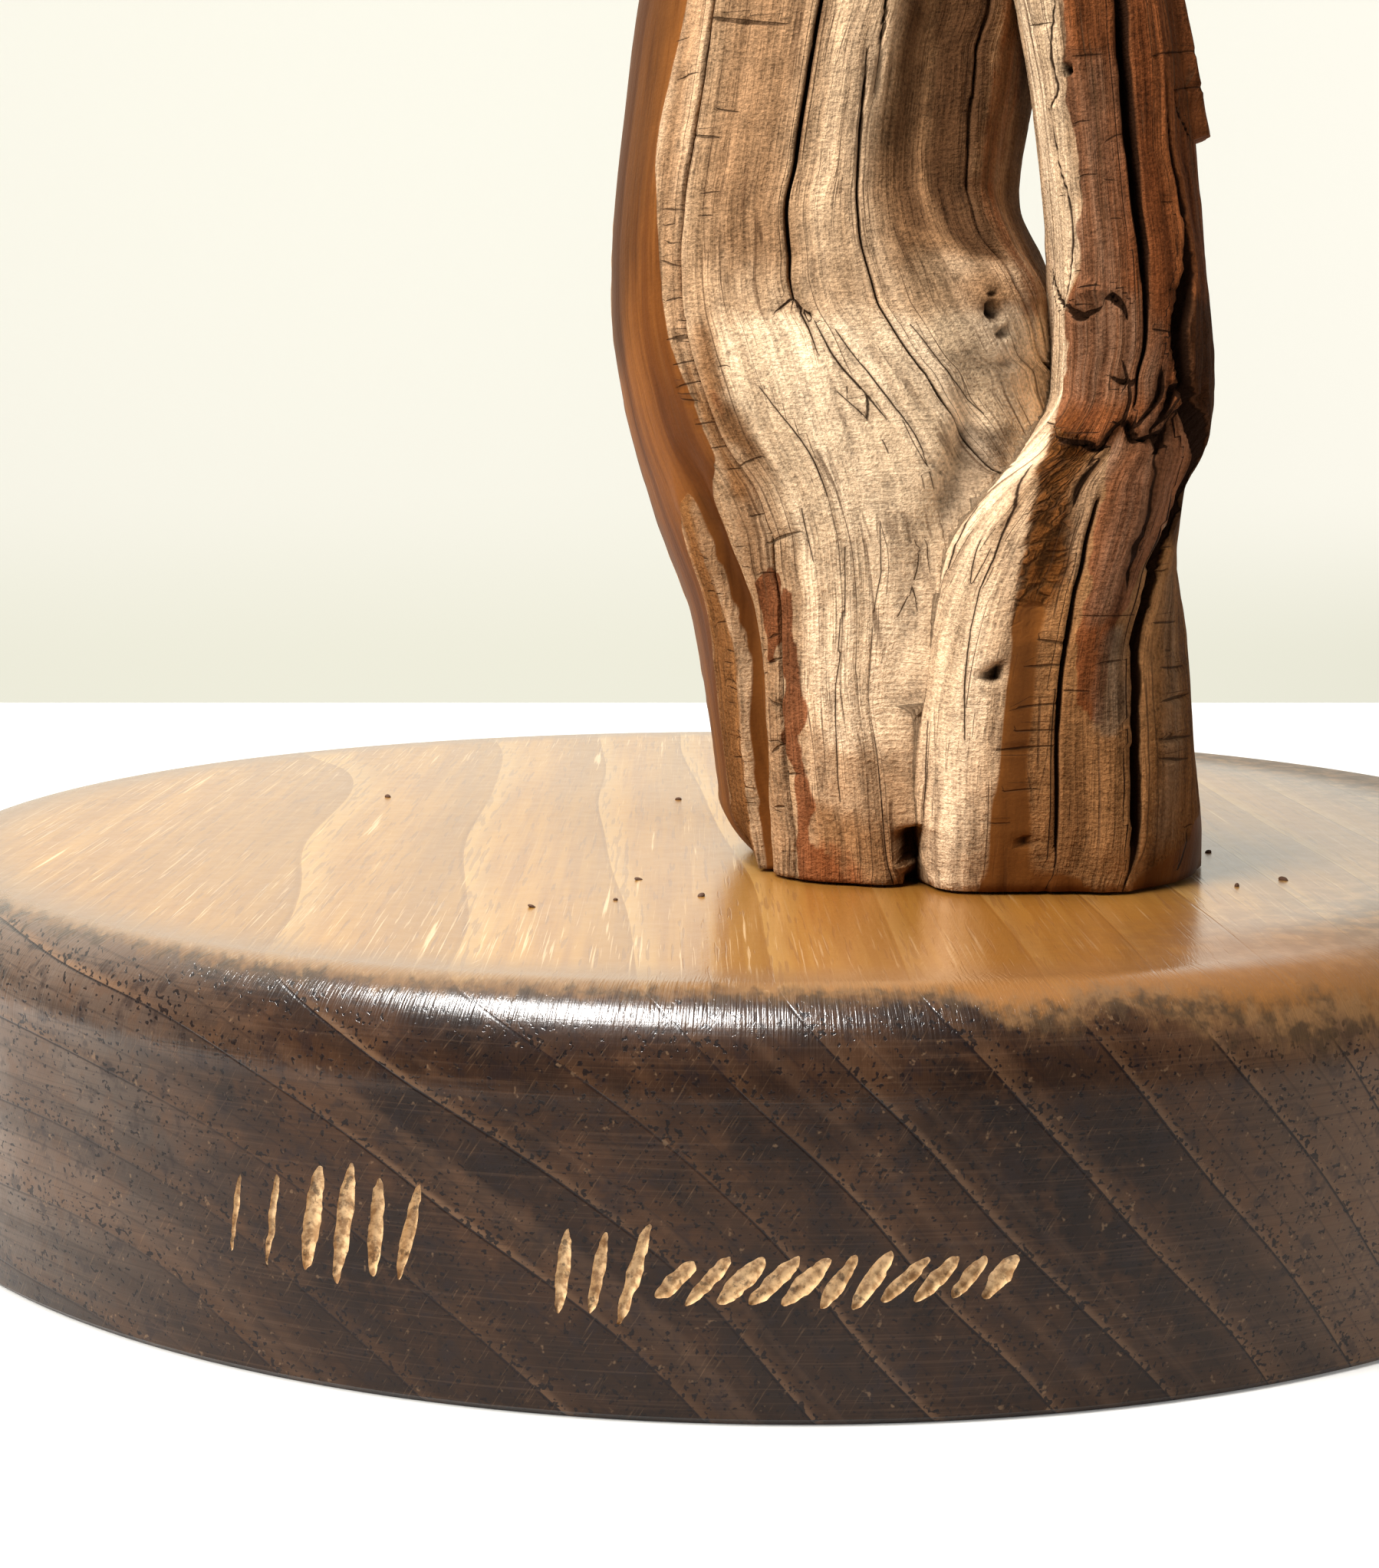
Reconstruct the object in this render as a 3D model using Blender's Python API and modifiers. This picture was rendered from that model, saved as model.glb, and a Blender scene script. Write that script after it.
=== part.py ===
"""Driftwood sculpture on a round wooden base.

Two pieces: a round-edged turned base, and one weathered piece of driftwood that stands on it. The driftwood
is a broad trunk and a limb that grows from the same foot, parts from the trunk at a crotch, leans in front
of it and grows into it again higher up, so that a narrow slot stays open between them.
Units are metres, +Z is up, and the origin is the centre of the base's underside.
"""

import math

import bpy
import numpy as np

# The base
BASE_DIAMETER = 0.180
BASE_THICKNESS = 0.0314
TOP_EDGE_RADIUS = 0.0074
BOTTOM_EDGE_EASE = 0.0006
BASE_SIDES = 128
TOP_EDGE_STEPS = 6

# The driftwood, and where its foot stands on the base
DRIFTWOOD_HEIGHT = 0.160
FOOT_RIGHT_OF_CENTRE = 0.018
FOOT_BEFORE_CENTRE = 0.026
REST_GAP = 0.0003

# The carving is written in hundred-and-sixtieths of the driftwood's height, which are millimetres at its real size
CARVING_HEIGHT = 160.0
CARVING = DRIFTWOOD_HEIGHT / CARVING_HEIGHT

# Each station is height above the foot, left edge, right edge, front, back and squareness (1 is an ellipse)
TRUNK = {
    "stations": [
        (0, -22.0, 12.0, -18.0, 23.0, 0.90),
        (13, -24.0, 12.0, -17.5, 22.5, 0.90),
        (23, -25.6, 12.5, -17.5, 22.0, 0.90),
        (34, -29.7, 13.0, -18.0, 22.0, 0.90),
        (43, -32.2, 11.0, -18.0, 22.0, 0.88),
        (52, -33.2, 9.6, -16.5, 22.0, 0.88),
        (57, -33.2, 7.2, -15.8, 21.8, 0.87),
        (62, -33.0, 5.2, -15.0, 21.5, 0.86),
        (72, -31.9, 6.6, -13.5, 21.0, 0.86),
        (80, -30.8, 7.5, -12.5, 21.0, 0.86),
        (93, -28.0, 9.0, -11.5, 20.0, 0.88),
        (113, -23.0, 7.0, -9.0, 18.0, 0.90),
        (133, -17.0, 3.0, -5.0, 15.0, 0.92),
        (148, -12.0, -1.0, 0.0, 12.0, 0.95),
        (160, -9.0, -3.5, 2.5, 8.5, 1.00),
    ],
    # Each split is a path of (height, share of the width from the left edge), its width, depth and reach in height
    "splits": [
        ([(0, 0.175), (16, 0.20), (31, 0.234), (38, 0.20), (45, 0.151), (53, 0.155), (62, 0.175), (78, 0.185)],
         1.3, 2.0, (-10, 118)),
        ([(0, 0.37), (19, 0.42), (30, 0.55), (37, 0.538), (47, 0.46), (52, 0.393), (56, 0.396), (62, 0.417),
          (77, 0.43)], 1.3, 2.0, (50, 140)),
        ([(0, 0.52), (20, 0.60), (37, 0.75), (42, 0.666), (50, 0.589), (57, 0.554), (63, 0.567), (78, 0.58)],
         1.3, 1.8, (37, 126)),
        ([(0, 0.72), (20, 0.80), (46, 0.90), (51, 0.877), (55, 0.825), (58, 0.79), (78, 0.792)],
         1.5, 2.2, (44, 104)),
    ],
    # Each swell is a path of (height, angle round the ring in degrees), its half width, its rise and its reach
    "swells": [
        ([(0, 33), (15, 41), (26, 46), (31, 47), (37, 38), (45, 31)], 1.5, -1.3, (-10, 45)),
        ([(0, 25), (15, 31), (26, 35), (37, 28), (45, 22)], 1.2, 0.5, (-10, 45)),
        ([(50, 87), (80, 90)], 4.0, 0.9, (52, 132)),
        ([(55, 112), (80, 112)], 4.5, -1.9, (57, 140)),
        ([(50, 133), (80, 130)], 3.0, 0.8, (57, 126)),
        ([(40, 126), (60, 126)], 6.0, 1.9, (44, 62)),
        ([(0, 218), (70, 228), (160, 214)], 5.0, -1.6, (-10, 150)),
        ([(0, 262), (60, 255), (160, 268)], 6.0, 1.4, (-10, 140)),
        ([(0, 300), (90, 288), (160, 300)], 4.0, -1.5, (8, 150)),
    ],
    "flakes": [],
    "broken_end": [0.0, -3.4, -0.8, -4.6, -1.6, -3.8],
}
LIMB = {
    "stations": [
        (0, -11.5, 22.6, -22.0, 18.0, 0.78),
        (10, -11.5, 21.8, -21.5, 17.0, 0.78),
        (18, -10.8, 21.0, -21.0, 15.0, 0.80),
        (24, -9.6, 20.0, -20.8, 13.0, 0.82),
        (30, -7.0, 19.1, -20.8, 10.0, 0.85),
        (35, -1.9, 19.2, -21.0, 6.0, 0.88),
        (39, 3.6, 20.5, -21.0, 2.0, 0.90),
        (44, 6.7, 20.8, -20.8, -1.0, 0.90),
        (52, 6.4, 19.9, -20.0, -3.5, 0.88),
        (58, 6.1, 19.1, -19.5, -4.0, 0.88),
        (69, 4.9, 17.7, -19.0, -4.0, 0.88),
        (78, 3.3, 16.3, -18.0, -3.0, 0.88),
        (93, 0.0, 12.8, -16.0, -1.0, 0.90),
        (108, -3.5, 9.0, -13.0, 1.0, 0.92),
        (120, -5.0, 5.5, -10.5, 2.0, 0.95),
        (128, -4.5, 1.0, -9.0, 0.5, 1.00),
    ],
    "splits": [
        ([(0, 0.55), (12, 0.585), (25, 0.595), (34, 0.57), (43, 0.53), (49, 0.52), (55, 0.57), (60, 0.54),
          (68, 0.53), (77, 0.57)], 1.0, 2.6, (-10, 116)),
        ([(0, 0.63), (30, 0.62), (40, 0.59), (44, 0.655), (48, 0.68), (54, 0.764), (60, 0.72), (65, 0.68),
          (77, 0.65)], 1.0, 2.6, (40, 67)),
        ([(0, 0.715), (12, 0.725), (21, 0.725), (26, 0.775), (31, 0.85), (39, 0.85), (77, 0.86)],
         1.0, 2.6, (-10, 42)),
    ],
    "swells": [
        ([(0, 68), (10, 75), (24, 76), (31, 72), (40, 52)], 3.2, 1.2, (-10, 42)),
        ([(0, 50), (24, 52), (34, 46)], 4.0, -0.8, (-10, 34)),
        ([(0, 107), (25, 108), (34, 118)], 2.4, 0.8, (-10, 44)),
        ([(48, 40), (80, 40)], 2.5, 0.5, (44, 100)),
        ([(0, 232), (60, 240), (128, 232)], 3.5, -1.2, (36, 120)),
        ([(0, 285), (128, 285)], 3.0, 0.9, (36, 112)),
    ],
    # Each flake is a thin slab left standing on the surface: from angle, to angle, lowest, highest, thickness
    "flakes": [
        (158, 202, 66.0, 92.0, 1.3),
    ],
    "broken_end": [0.0, -2.8, -0.6, -1.8, -0.4, -3.0],
}

RING_SIDES = 30
RING_SPACING = 3.4
SPLIT_TAPER = 8.0
FLAKE_STEP = 0.3
TIP_REACH = 22.0
TIP_HOLLOW = 2.5


def material(name, colour, roughness):
    """A Principled material of one colour."""
    made = bpy.data.materials.new(name)
    made.use_nodes = True
    shader = made.node_tree.nodes["Principled BSDF"]
    shader.inputs["Base Color"].default_value = (*colour, 1.0)
    shader.inputs["Roughness"].default_value = roughness
    shader.inputs["Metallic"].default_value = 0.0
    return made


def between(table, at):
    """Reads a table whose first column is a height, along smooth curves that never overshoot its rows."""
    rows = np.array(table, float)
    heights, values = rows[:, 0], rows[:, 1:]
    steps = np.diff(heights)[:, None]
    slopes = np.diff(values, axis=0) / steps
    same_way = slopes[:-1] * slopes[1:] > 0
    mean = 2 * slopes[:-1] * slopes[1:] / np.where(same_way, slopes[:-1] + slopes[1:], 1.0)
    tangents = np.vstack([slopes[:1], np.where(same_way, mean, 0.0), slopes[-1:]])
    at = np.clip(np.atleast_1d(at), heights[0], heights[-1])
    k = np.clip(np.searchsorted(heights, at, side="right") - 1, 0, len(steps) - 1)
    t = ((at - heights[k]) / steps[k, 0])[:, None]
    rise = steps[k] * (t * (1 - t) ** 2 * tangents[k] - t ** 2 * (1 - t) * tangents[k + 1])
    ease = t * t * (3 - 2 * t)
    return values[k] * (1 - ease) + values[k + 1] * ease + rise


def angle_of(share, squareness):
    """The ring's angle at which its front lies this share of the width from the left edge."""
    offset = 1 - 2 * share
    return np.arccos(np.sign(offset) * np.abs(offset) ** (1 / squareness))


def ring_angles(stem):
    """The angles of a ring's columns at the middle of the stem: even, with three more at each split."""
    _, left, right, front, back, _ = np.array(stem["stations"]).T
    radius = np.mean((right - left + back - front) / 4)
    even = np.linspace(0, 2 * math.pi, RING_SIDES, endpoint=False)
    rails = [float(angle_of(np.mean([share for _, share in path]), 0.9)) for path, *_ in stem["splits"]]
    lips = [width / 2 / radius for _, width, _, _ in stem["splits"]]
    clear = [a for a in even if all(abs(a - rail) > 2.2 * lip for rail, lip in zip(rails, lips))]
    grooves = [rail + side * lip for rail, lip in zip(rails, lips) for side in (-1, 0, 1)]
    return np.array(sorted(clear + grooves)), rails


def ring_heights(stem):
    """The heights of a stem's rings: even, with two close together at the step below each flake."""
    top = stem["stations"][-1][0]
    even = np.linspace(0, top, round(top / RING_SPACING) + 1)
    steps = [low + side * FLAKE_STEP / 2 for _, _, low, _, _ in stem["flakes"] for side in (-1, 1)]
    clear = [h for h in even if all(abs(h - step) > RING_SPACING / 3 for step in steps)]
    return np.array(sorted(clear + steps))


def within(height, low, high, taper):
    """1 between two heights, falling to 0 at them over the taper."""
    return float(np.clip(min(height - low, high - height) / taper, 0, 1))


def relief(stem, height, angles, radius):
    """How far the surface stands out of the plain ring at each angle: swells, then flakes."""
    raised = np.zeros(len(angles))
    for path, half_width, rise, (low, high) in stem["swells"]:
        centre = math.radians(between(path, height)[0, 0])
        apart = (angles - centre + math.pi) % (2 * math.pi) - math.pi
        bell = np.exp(-((apart * radius / half_width) ** 2))
        raised += rise * within(height, low, high, SPLIT_TAPER) * bell
    for first, last, low, high, thickness in stem["flakes"]:
        over = np.clip((high - height) / (high - low), 0, 1) * (height > low)
        raised += thickness * over * ((angles > math.radians(first)) & (angles < math.radians(last)))
    return raised


def stem_rings(stem):
    """The stem's points, as rows of heights by columns of angles, in carving units."""
    heights = ring_heights(stem)
    top = heights[-1]
    angles, rails = ring_angles(stem)
    left, right, front, back, squareness = between(stem["stations"], heights).T
    paths = [between(path, heights)[:, 0] for path, *_ in stem["splits"]]
    lobes = np.interp(angles, np.linspace(0, 2 * math.pi, len(stem["broken_end"]) + 1),
                      [*stem["broken_end"], stem["broken_end"][0]])
    points = np.empty((len(heights), len(angles), 3))
    for row, height in enumerate(heights):
        at_rails = [float(angle_of(path[row], squareness[row])) for path in paths]
        turned = np.interp(angles, [0, *rails, 2 * math.pi], [0, *at_rails, 2 * math.pi])
        half_width, half_depth = (right[row] - left[row]) / 2, (back[row] - front[row]) / 2
        across, deep = np.cos(turned), np.sin(turned)
        x = -half_width * np.sign(across) * np.abs(across) ** squareness[row]
        y = -half_depth * np.sign(deep) * np.abs(deep) ** squareness[row]
        reach = np.hypot(x, y)
        raised = relief(stem, height, turned, (half_width + half_depth) / 2)
        for rail, (_, _, depth, (low, high)) in zip(rails, stem["splits"]):
            raised[np.argmin(np.abs(angles - rail))] -= depth * within(height, low, high, SPLIT_TAPER)
        points[row, :, 0] = (left[row] + right[row]) / 2 + x * (1 + raised / reach)
        points[row, :, 1] = (front[row] + back[row]) / 2 + y * (1 + raised / reach)
        near_tip = np.clip((height - top + TIP_REACH) / TIP_REACH, 0, 1)
        points[row, :, 2] = height + near_tip * lobes
    return points


def stem_object(name, stem, seat, collection):
    """A closed loft through the stem's rings, flat below and broken off hollow above."""
    points = stem_rings(stem)
    rows, columns = points.shape[:2]
    foot = np.append(points[0, :, :2].mean(0), 0.0)
    hollow = points[-1].mean(0) - (0, 0, TIP_HOLLOW)
    places = np.vstack([points.reshape(-1, 3), foot, hollow]) * CARVING + seat
    faces = []
    for row in range(rows - 1):
        for column in range(columns):
            beside = (column + 1) % columns
            faces.append((row * columns + column, row * columns + beside,
                          (row + 1) * columns + beside, (row + 1) * columns + column))
    last = (rows - 1) * columns
    for column in range(columns):
        beside = (column + 1) % columns
        faces.append((beside, column, rows * columns))
        faces.append((last + column, last + beside, rows * columns + 1))
    mesh = bpy.data.meshes.new(name)
    mesh.from_pydata([tuple(place) for place in places], [], faces)
    made = bpy.data.objects.new(name, mesh)
    collection.objects.link(made)
    return made


def build_base(collection, finish):
    """The turned base: a flat disc with a round top edge and a slightly eased bottom edge."""
    radius = BASE_DIAMETER / 2
    edge = min(TOP_EDGE_RADIUS, BASE_THICKNESS / 2)
    profile = [(0, BASE_THICKNESS), (radius - edge, BASE_THICKNESS)]
    for step in range(1, TOP_EDGE_STEPS + 1):
        turn = step / TOP_EDGE_STEPS * math.pi / 2
        profile.append((radius - edge + edge * math.sin(turn), BASE_THICKNESS - edge + edge * math.cos(turn)))
    profile += [(radius, BOTTOM_EDGE_EASE), (radius - BOTTOM_EDGE_EASE, 0), (0, 0)]
    mesh = bpy.data.meshes.new("round_base")
    mesh.from_pydata([(x, 0, z) for x, z in profile], [(n, n + 1) for n in range(len(profile) - 1)], [])
    base = bpy.data.objects.new("round_base", mesh)
    turning = base.modifiers.new("turning", "SCREW")
    turning.axis = "Z"
    turning.angle = 2 * math.pi
    turning.steps = turning.render_steps = BASE_SIDES
    turning.use_merge_vertices = True
    turning.merge_threshold = 0.00001
    base.data.materials.append(finish)
    collection.objects.link(base)
    return base


def build_driftwood(collection, helpers, finish):
    """The trunk with the limb joined to it, as one solid standing on the base's top."""
    seat = np.array([FOOT_RIGHT_OF_CENTRE, -FOOT_BEFORE_CENTRE, BASE_THICKNESS + REST_GAP])
    trunk = stem_object("driftwood", TRUNK, seat, collection)
    limb = stem_object("limb_to_join", LIMB, seat, helpers)
    limb.hide_render = True
    limb.display_type = "WIRE"
    join = trunk.modifiers.new("grown_together", "BOOLEAN")
    join.operation = "UNION"
    join.object = limb
    trunk.data.materials.append(finish)
    return trunk


def main():
    for old in list(bpy.data.objects):
        bpy.data.objects.remove(old)
    sculpture = bpy.data.collections.new("driftwood_sculpture")
    helpers = bpy.data.collections.new("helpers")
    for collection in (sculpture, helpers):
        bpy.context.scene.collection.children.link(collection)
    stained = material("stained_walnut_brown", (0.10, 0.062, 0.045), 0.38)
    weathered = material("weathered_driftwood", (0.46, 0.33, 0.22), 0.75)
    build_base(sculpture, stained)
    build_driftwood(sculpture, helpers, weathered)


main()
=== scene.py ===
# Driftwood sculpture on a round wooden base: the finish of both pieces, the stage, the lights and the camera
import math
from itertools import product

import bpy
import numpy as np
from mathutils.kdtree import KDTree
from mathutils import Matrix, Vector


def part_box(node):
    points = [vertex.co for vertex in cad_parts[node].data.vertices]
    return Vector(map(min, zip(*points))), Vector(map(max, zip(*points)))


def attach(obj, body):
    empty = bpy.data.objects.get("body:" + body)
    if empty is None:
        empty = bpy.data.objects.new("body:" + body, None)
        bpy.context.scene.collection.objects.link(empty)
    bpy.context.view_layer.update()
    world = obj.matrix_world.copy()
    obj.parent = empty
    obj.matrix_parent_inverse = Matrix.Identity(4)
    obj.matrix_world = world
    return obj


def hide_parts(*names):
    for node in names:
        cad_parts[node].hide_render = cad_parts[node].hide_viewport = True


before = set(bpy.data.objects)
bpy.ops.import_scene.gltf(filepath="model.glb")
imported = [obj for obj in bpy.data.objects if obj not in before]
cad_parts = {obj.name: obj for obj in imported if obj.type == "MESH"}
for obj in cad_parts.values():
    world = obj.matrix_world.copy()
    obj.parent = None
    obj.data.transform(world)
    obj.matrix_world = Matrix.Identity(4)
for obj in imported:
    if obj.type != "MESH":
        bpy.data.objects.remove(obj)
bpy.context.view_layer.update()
mm, fullTurn = 0.001, 2 * math.pi
print("frame loaded:", sorted(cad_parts))


# A socket of a node tree, which adds and multiplies like a plain number
class Field:
    def __init__(self, socket):
        self.socket, self.tree = socket, socket.id_data

    def __add__(self, other):
        return maths("ADD", self, other)

    def __sub__(self, other):
        return maths("SUBTRACT", self, other)

    def __rsub__(self, other):
        return maths("SUBTRACT", other, self)

    def __mul__(self, other):
        return maths("MULTIPLY", self, other)

    def __truediv__(self, other):
        return maths("DIVIDE", self, other)


# Gives a node's sockets their values, or links them
def feed(node, sockets):
    for socket, value in sockets.items():
        if isinstance(value, Field):
            value.tree.links.new(value.socket, node.inputs[socket])
        else:
            node.inputs[socket].default_value = value


def addNode(tree, kind, sockets=None, output=0, **settings):
    made = tree.nodes.new(kind)
    for name, value in settings.items():
        setattr(made, name, value)
    feed(made, sockets or {})
    return Field(made.outputs[output])


def treeOf(values):
    return next(value.tree for value in values if isinstance(value, Field))


def maths(operation, *values, kind="ShaderNodeMath", **settings):
    return addNode(treeOf(values), kind, dict(enumerate(values)), operation=operation, **settings)


def vectorMaths(operation, *values):
    return maths(operation, *values, kind="ShaderNodeVectorMath")


def vectorOf(x=0.0, y=0.0, z=0.0):
    return addNode(treeOf((x, y, z)), "ShaderNodeCombineXYZ", {0: x, 1: y, 2: z})


def partsOf(vector):
    node = addNode(vector.tree, "ShaderNodeSeparateXYZ", {0: vector}).socket.node
    return [Field(socket) for socket in node.outputs]


def attributeAt(tree, name):
    return addNode(tree, "ShaderNodeAttribute", output="Vector", attribute_name=name)


def objectPlace(tree):
    return addNode(tree, "ShaderNodeTexCoord", output="Object")


# Noise with one scale, or with three along the axes
def noiseAt(vector, scale, detail=3.0, roughness=0.55, distortion=0.0, shift=(0.0, 0.0, 0.0), output=0):
    if isinstance(scale, tuple):
        sockets = {"Vector": vector, "Scale": scale, "Location": shift}
        vector, scale = addNode(vector.tree, "ShaderNodeMapping", sockets), 1.0
    sockets = {"Vector": vector, "Scale": scale, "Detail": detail, "Roughness": roughness,
               "Distortion": distortion}
    return addNode(vector.tree, "ShaderNodeTexNoise", sockets, output)


def remap(value, low, high, start=0.0, end=1.0):
    sockets = {0: value, 1: low, 2: high, 3: start, 4: end}
    return addNode(value.tree, "ShaderNodeMapRange", sockets, interpolation_type="SMOOTHSTEP")


def blend(factor, under, over):
    colours = [value if isinstance(value, Field) else (*value, 1.0) for value in (under, over)]
    sockets = {0: factor, 6: colours[0], 7: colours[1]}
    return addNode(treeOf((factor, under, over)), "ShaderNodeMix", sockets, 2, data_type="RGBA")


# Blends one colour after another over the first
def layered(colour, layers):
    for factor, over in layers:
        colour = blend(factor, colour, over)
    return colour


def finishBump(shader, relief, strength, distance, sockets=("Normal",)):
    bump = addNode(relief.tree, "ShaderNodeBump", {
        "Height": relief, "Strength": strength, "Distance": distance})
    feed(shader, dict.fromkeys(sockets, bump))


def newMaterial(name, sockets=None):
    made = bpy.data.materials.new(name)
    made.use_nodes = True
    shader = made.node_tree.nodes["Principled BSDF"]
    feed(shader, sockets or {})
    return made, made.node_tree, shader


def placed(name, data):
    made = bpy.data.objects.new(name, data)
    bpy.context.scene.collection.objects.link(made)
    return made


# Runs an object's modifiers and keeps what comes out as its plain mesh
def settle(made):
    mesh = bpy.data.meshes.new_from_object(made.evaluated_get(bpy.context.evaluated_depsgraph_get()))
    made.modifiers.clear()
    made.data = mesh
    return mesh


# Joins a second object to the first or cuts it out, and removes it
def combine(made, other, **settings):
    change = made.modifiers.new("combine", "BOOLEAN")
    change.object = other
    for name, value in settings.items():
        setattr(change, name, value)
    settle(made)
    bpy.data.objects.remove(other)


def readLayer(mesh, name):
    values = np.empty(len(mesh.vertices) * 3)
    mesh.attributes[name].data.foreach_get("vector", values)
    return values.reshape(-1, 3)


def writeLayer(mesh, name, values):
    layer = mesh.attributes.get(name) or mesh.attributes.new(name, "FLOAT_VECTOR", "POINT")
    layer.data.foreach_set("vector", np.asarray(values).astype(np.float32).ravel())


# Smooth noise between -1 and 1 on any array of places, the same on every run
def softNoise(places, cell, seed):
    at = np.asarray(places, float) / cell
    low = np.floor(at).astype(np.int64)
    part = at - low
    part = part * part * (3 - 2 * part)
    total = np.zeros(at.shape[:-1])
    for corner in product((0, 1), repeat=3):
        k = low + corner
        mixed = k[..., 0] * 374761393 + k[..., 1] * 668265263 + k[..., 2] * 974634777 + seed * 1274126177
        mixed &= 0xffffffff
        mixed = ((mixed ^ (mixed >> 13)) * 1274126177) & 0xffffffff
        mixed ^= mixed >> 16
        total += (mixed / 0x7fffffff - 1) * np.prod(np.where(corner, part, 1 - part), axis=-1)
    return total


# 0 below low, 1 above high, smooth between
def ease(value, low, high):
    part = np.clip((value - low) / (high - low), 0, 1)
    return part * part * (3 - 2 * part)


# Reads a table whose first column rises, along curves that never overshoot its rows
def readTable(table, at):
    rows = np.array(table, float)
    places, values = rows[:, 0], rows[:, 1:]
    steps = np.diff(places)[:, None]
    slopes = np.diff(values, axis=0) / steps
    sameWay = slopes[:-1] * slopes[1:] > 0
    mean = 2 * slopes[:-1] * slopes[1:] / np.where(sameWay, slopes[:-1] + slopes[1:], 1.0)
    tangents = np.vstack([slopes[:1], np.where(sameWay, mean, 0.0), slopes[-1:]])
    at = np.clip(np.atleast_1d(at), places[0], places[-1])
    k = np.clip(np.searchsorted(places, at, side="right") - 1, 0, len(steps) - 1)
    t = ((at - places[k]) / steps[k, 0])[:, None]
    rise = steps[k] * (t * (1 - t) ** 2 * tangents[k] - t ** 2 * (1 - t) * tangents[k + 1])
    share = t * t * (3 - 2 * t)
    return values[k] * (1 - share) + values[k + 1] * share + rise


# Courses that more than one row of the tables below follows: pairs of height and angle
leftSplitLow = [
    (0, 51.5), (4, 53.2), (7.4, 52.4), (11.6, 52.9), (17.2, 54), (23.2, 56), (25.8, 57.7), (28, 58.5),
    (31.5, 60.9),
]
leftSplitHigh = [
    (35, 59.7), (37.6, 56.7), (39.7, 54.5), (43, 52.8), (47.7, 50), (52.2, 48.8), (56.5, 50),
    (60.2, 52.3), (66.8, 54.5), (73.6, 55.1), (78.3, 55), (100, 56),
]
footCrack = [
    (0, 82.8), (3.7, 82.5), (12, 82.1), (17.6, 80.7), (24.3, 82.8),
]
chevronSplit = [
    (53.3, 78.5), (55.8, 79.9), (58.6, 80.8), (63.9, 83.8), (71.3, 84.1), (77.8, 84.9), (100, 87),
]
middleSplit = [
    (36.4, 118.5), (37.1, 114.9), (38.8, 112.2), (41.3, 109), (43.4, 105.3), (45.4, 102.8), (46.4, 100.9),
    (49.8, 96.5), (51.9, 94.3), (54.7, 93.9), (57.4, 94.1), (59.4, 94.9), (63.1, 95.9),
]
rightSplit = [
    (45.5, 145.2), (47, 136.7), (49.5, 132.6), (52.5, 127.8), (55, 126.6), (57.7, 124.6), (61.2, 127.1),
    (63.9, 127.3), (69.1, 126.3), (73.8, 125.5), (77.8, 128.1), (100, 129),
]
limbSplitLow = [
    (0, 90), (0.9, 90.3), (6.6, 92), (13.2, 92.4), (17.8, 93), (23.2, 94.9), (26.3, 96.2), (29, 97.9),
    (32.2, 96.9), (34.6, 94.5),
]
limbSplitHigh = [
    (42.4, 83), (44.3, 82.4), (47.5, 88.5), (48.4, 89.6), (53, 91.9), (56, 92.1), (60, 90.5),
    (64.9, 90.4), (68.9, 91.4), (73.8, 93.7), (76.8, 97), (100, 100),
]
flankEdge = [
    (0, 31.5), (6.1, 33), (12.9, 36.2), (19.6, 37.4), (24.6, 34.6),
]
paleStripEdge = [
    (44.7, 26.5), (45.8, 31), (49.3, 29.5), (51.5, 33.6), (54.2, 46.8), (57.2, 50.9), (61.1, 51.8),
    (65.1, 49.3), (69.1, 49.9), (73.1, 51.1), (77, 55.6), (128, 62),
]
oiledBandEdge = [
    (0, 75.5), (4.5, 78.4), (10.9, 80.6), (16.9, 82), (21.5, 82.1),
]

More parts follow.
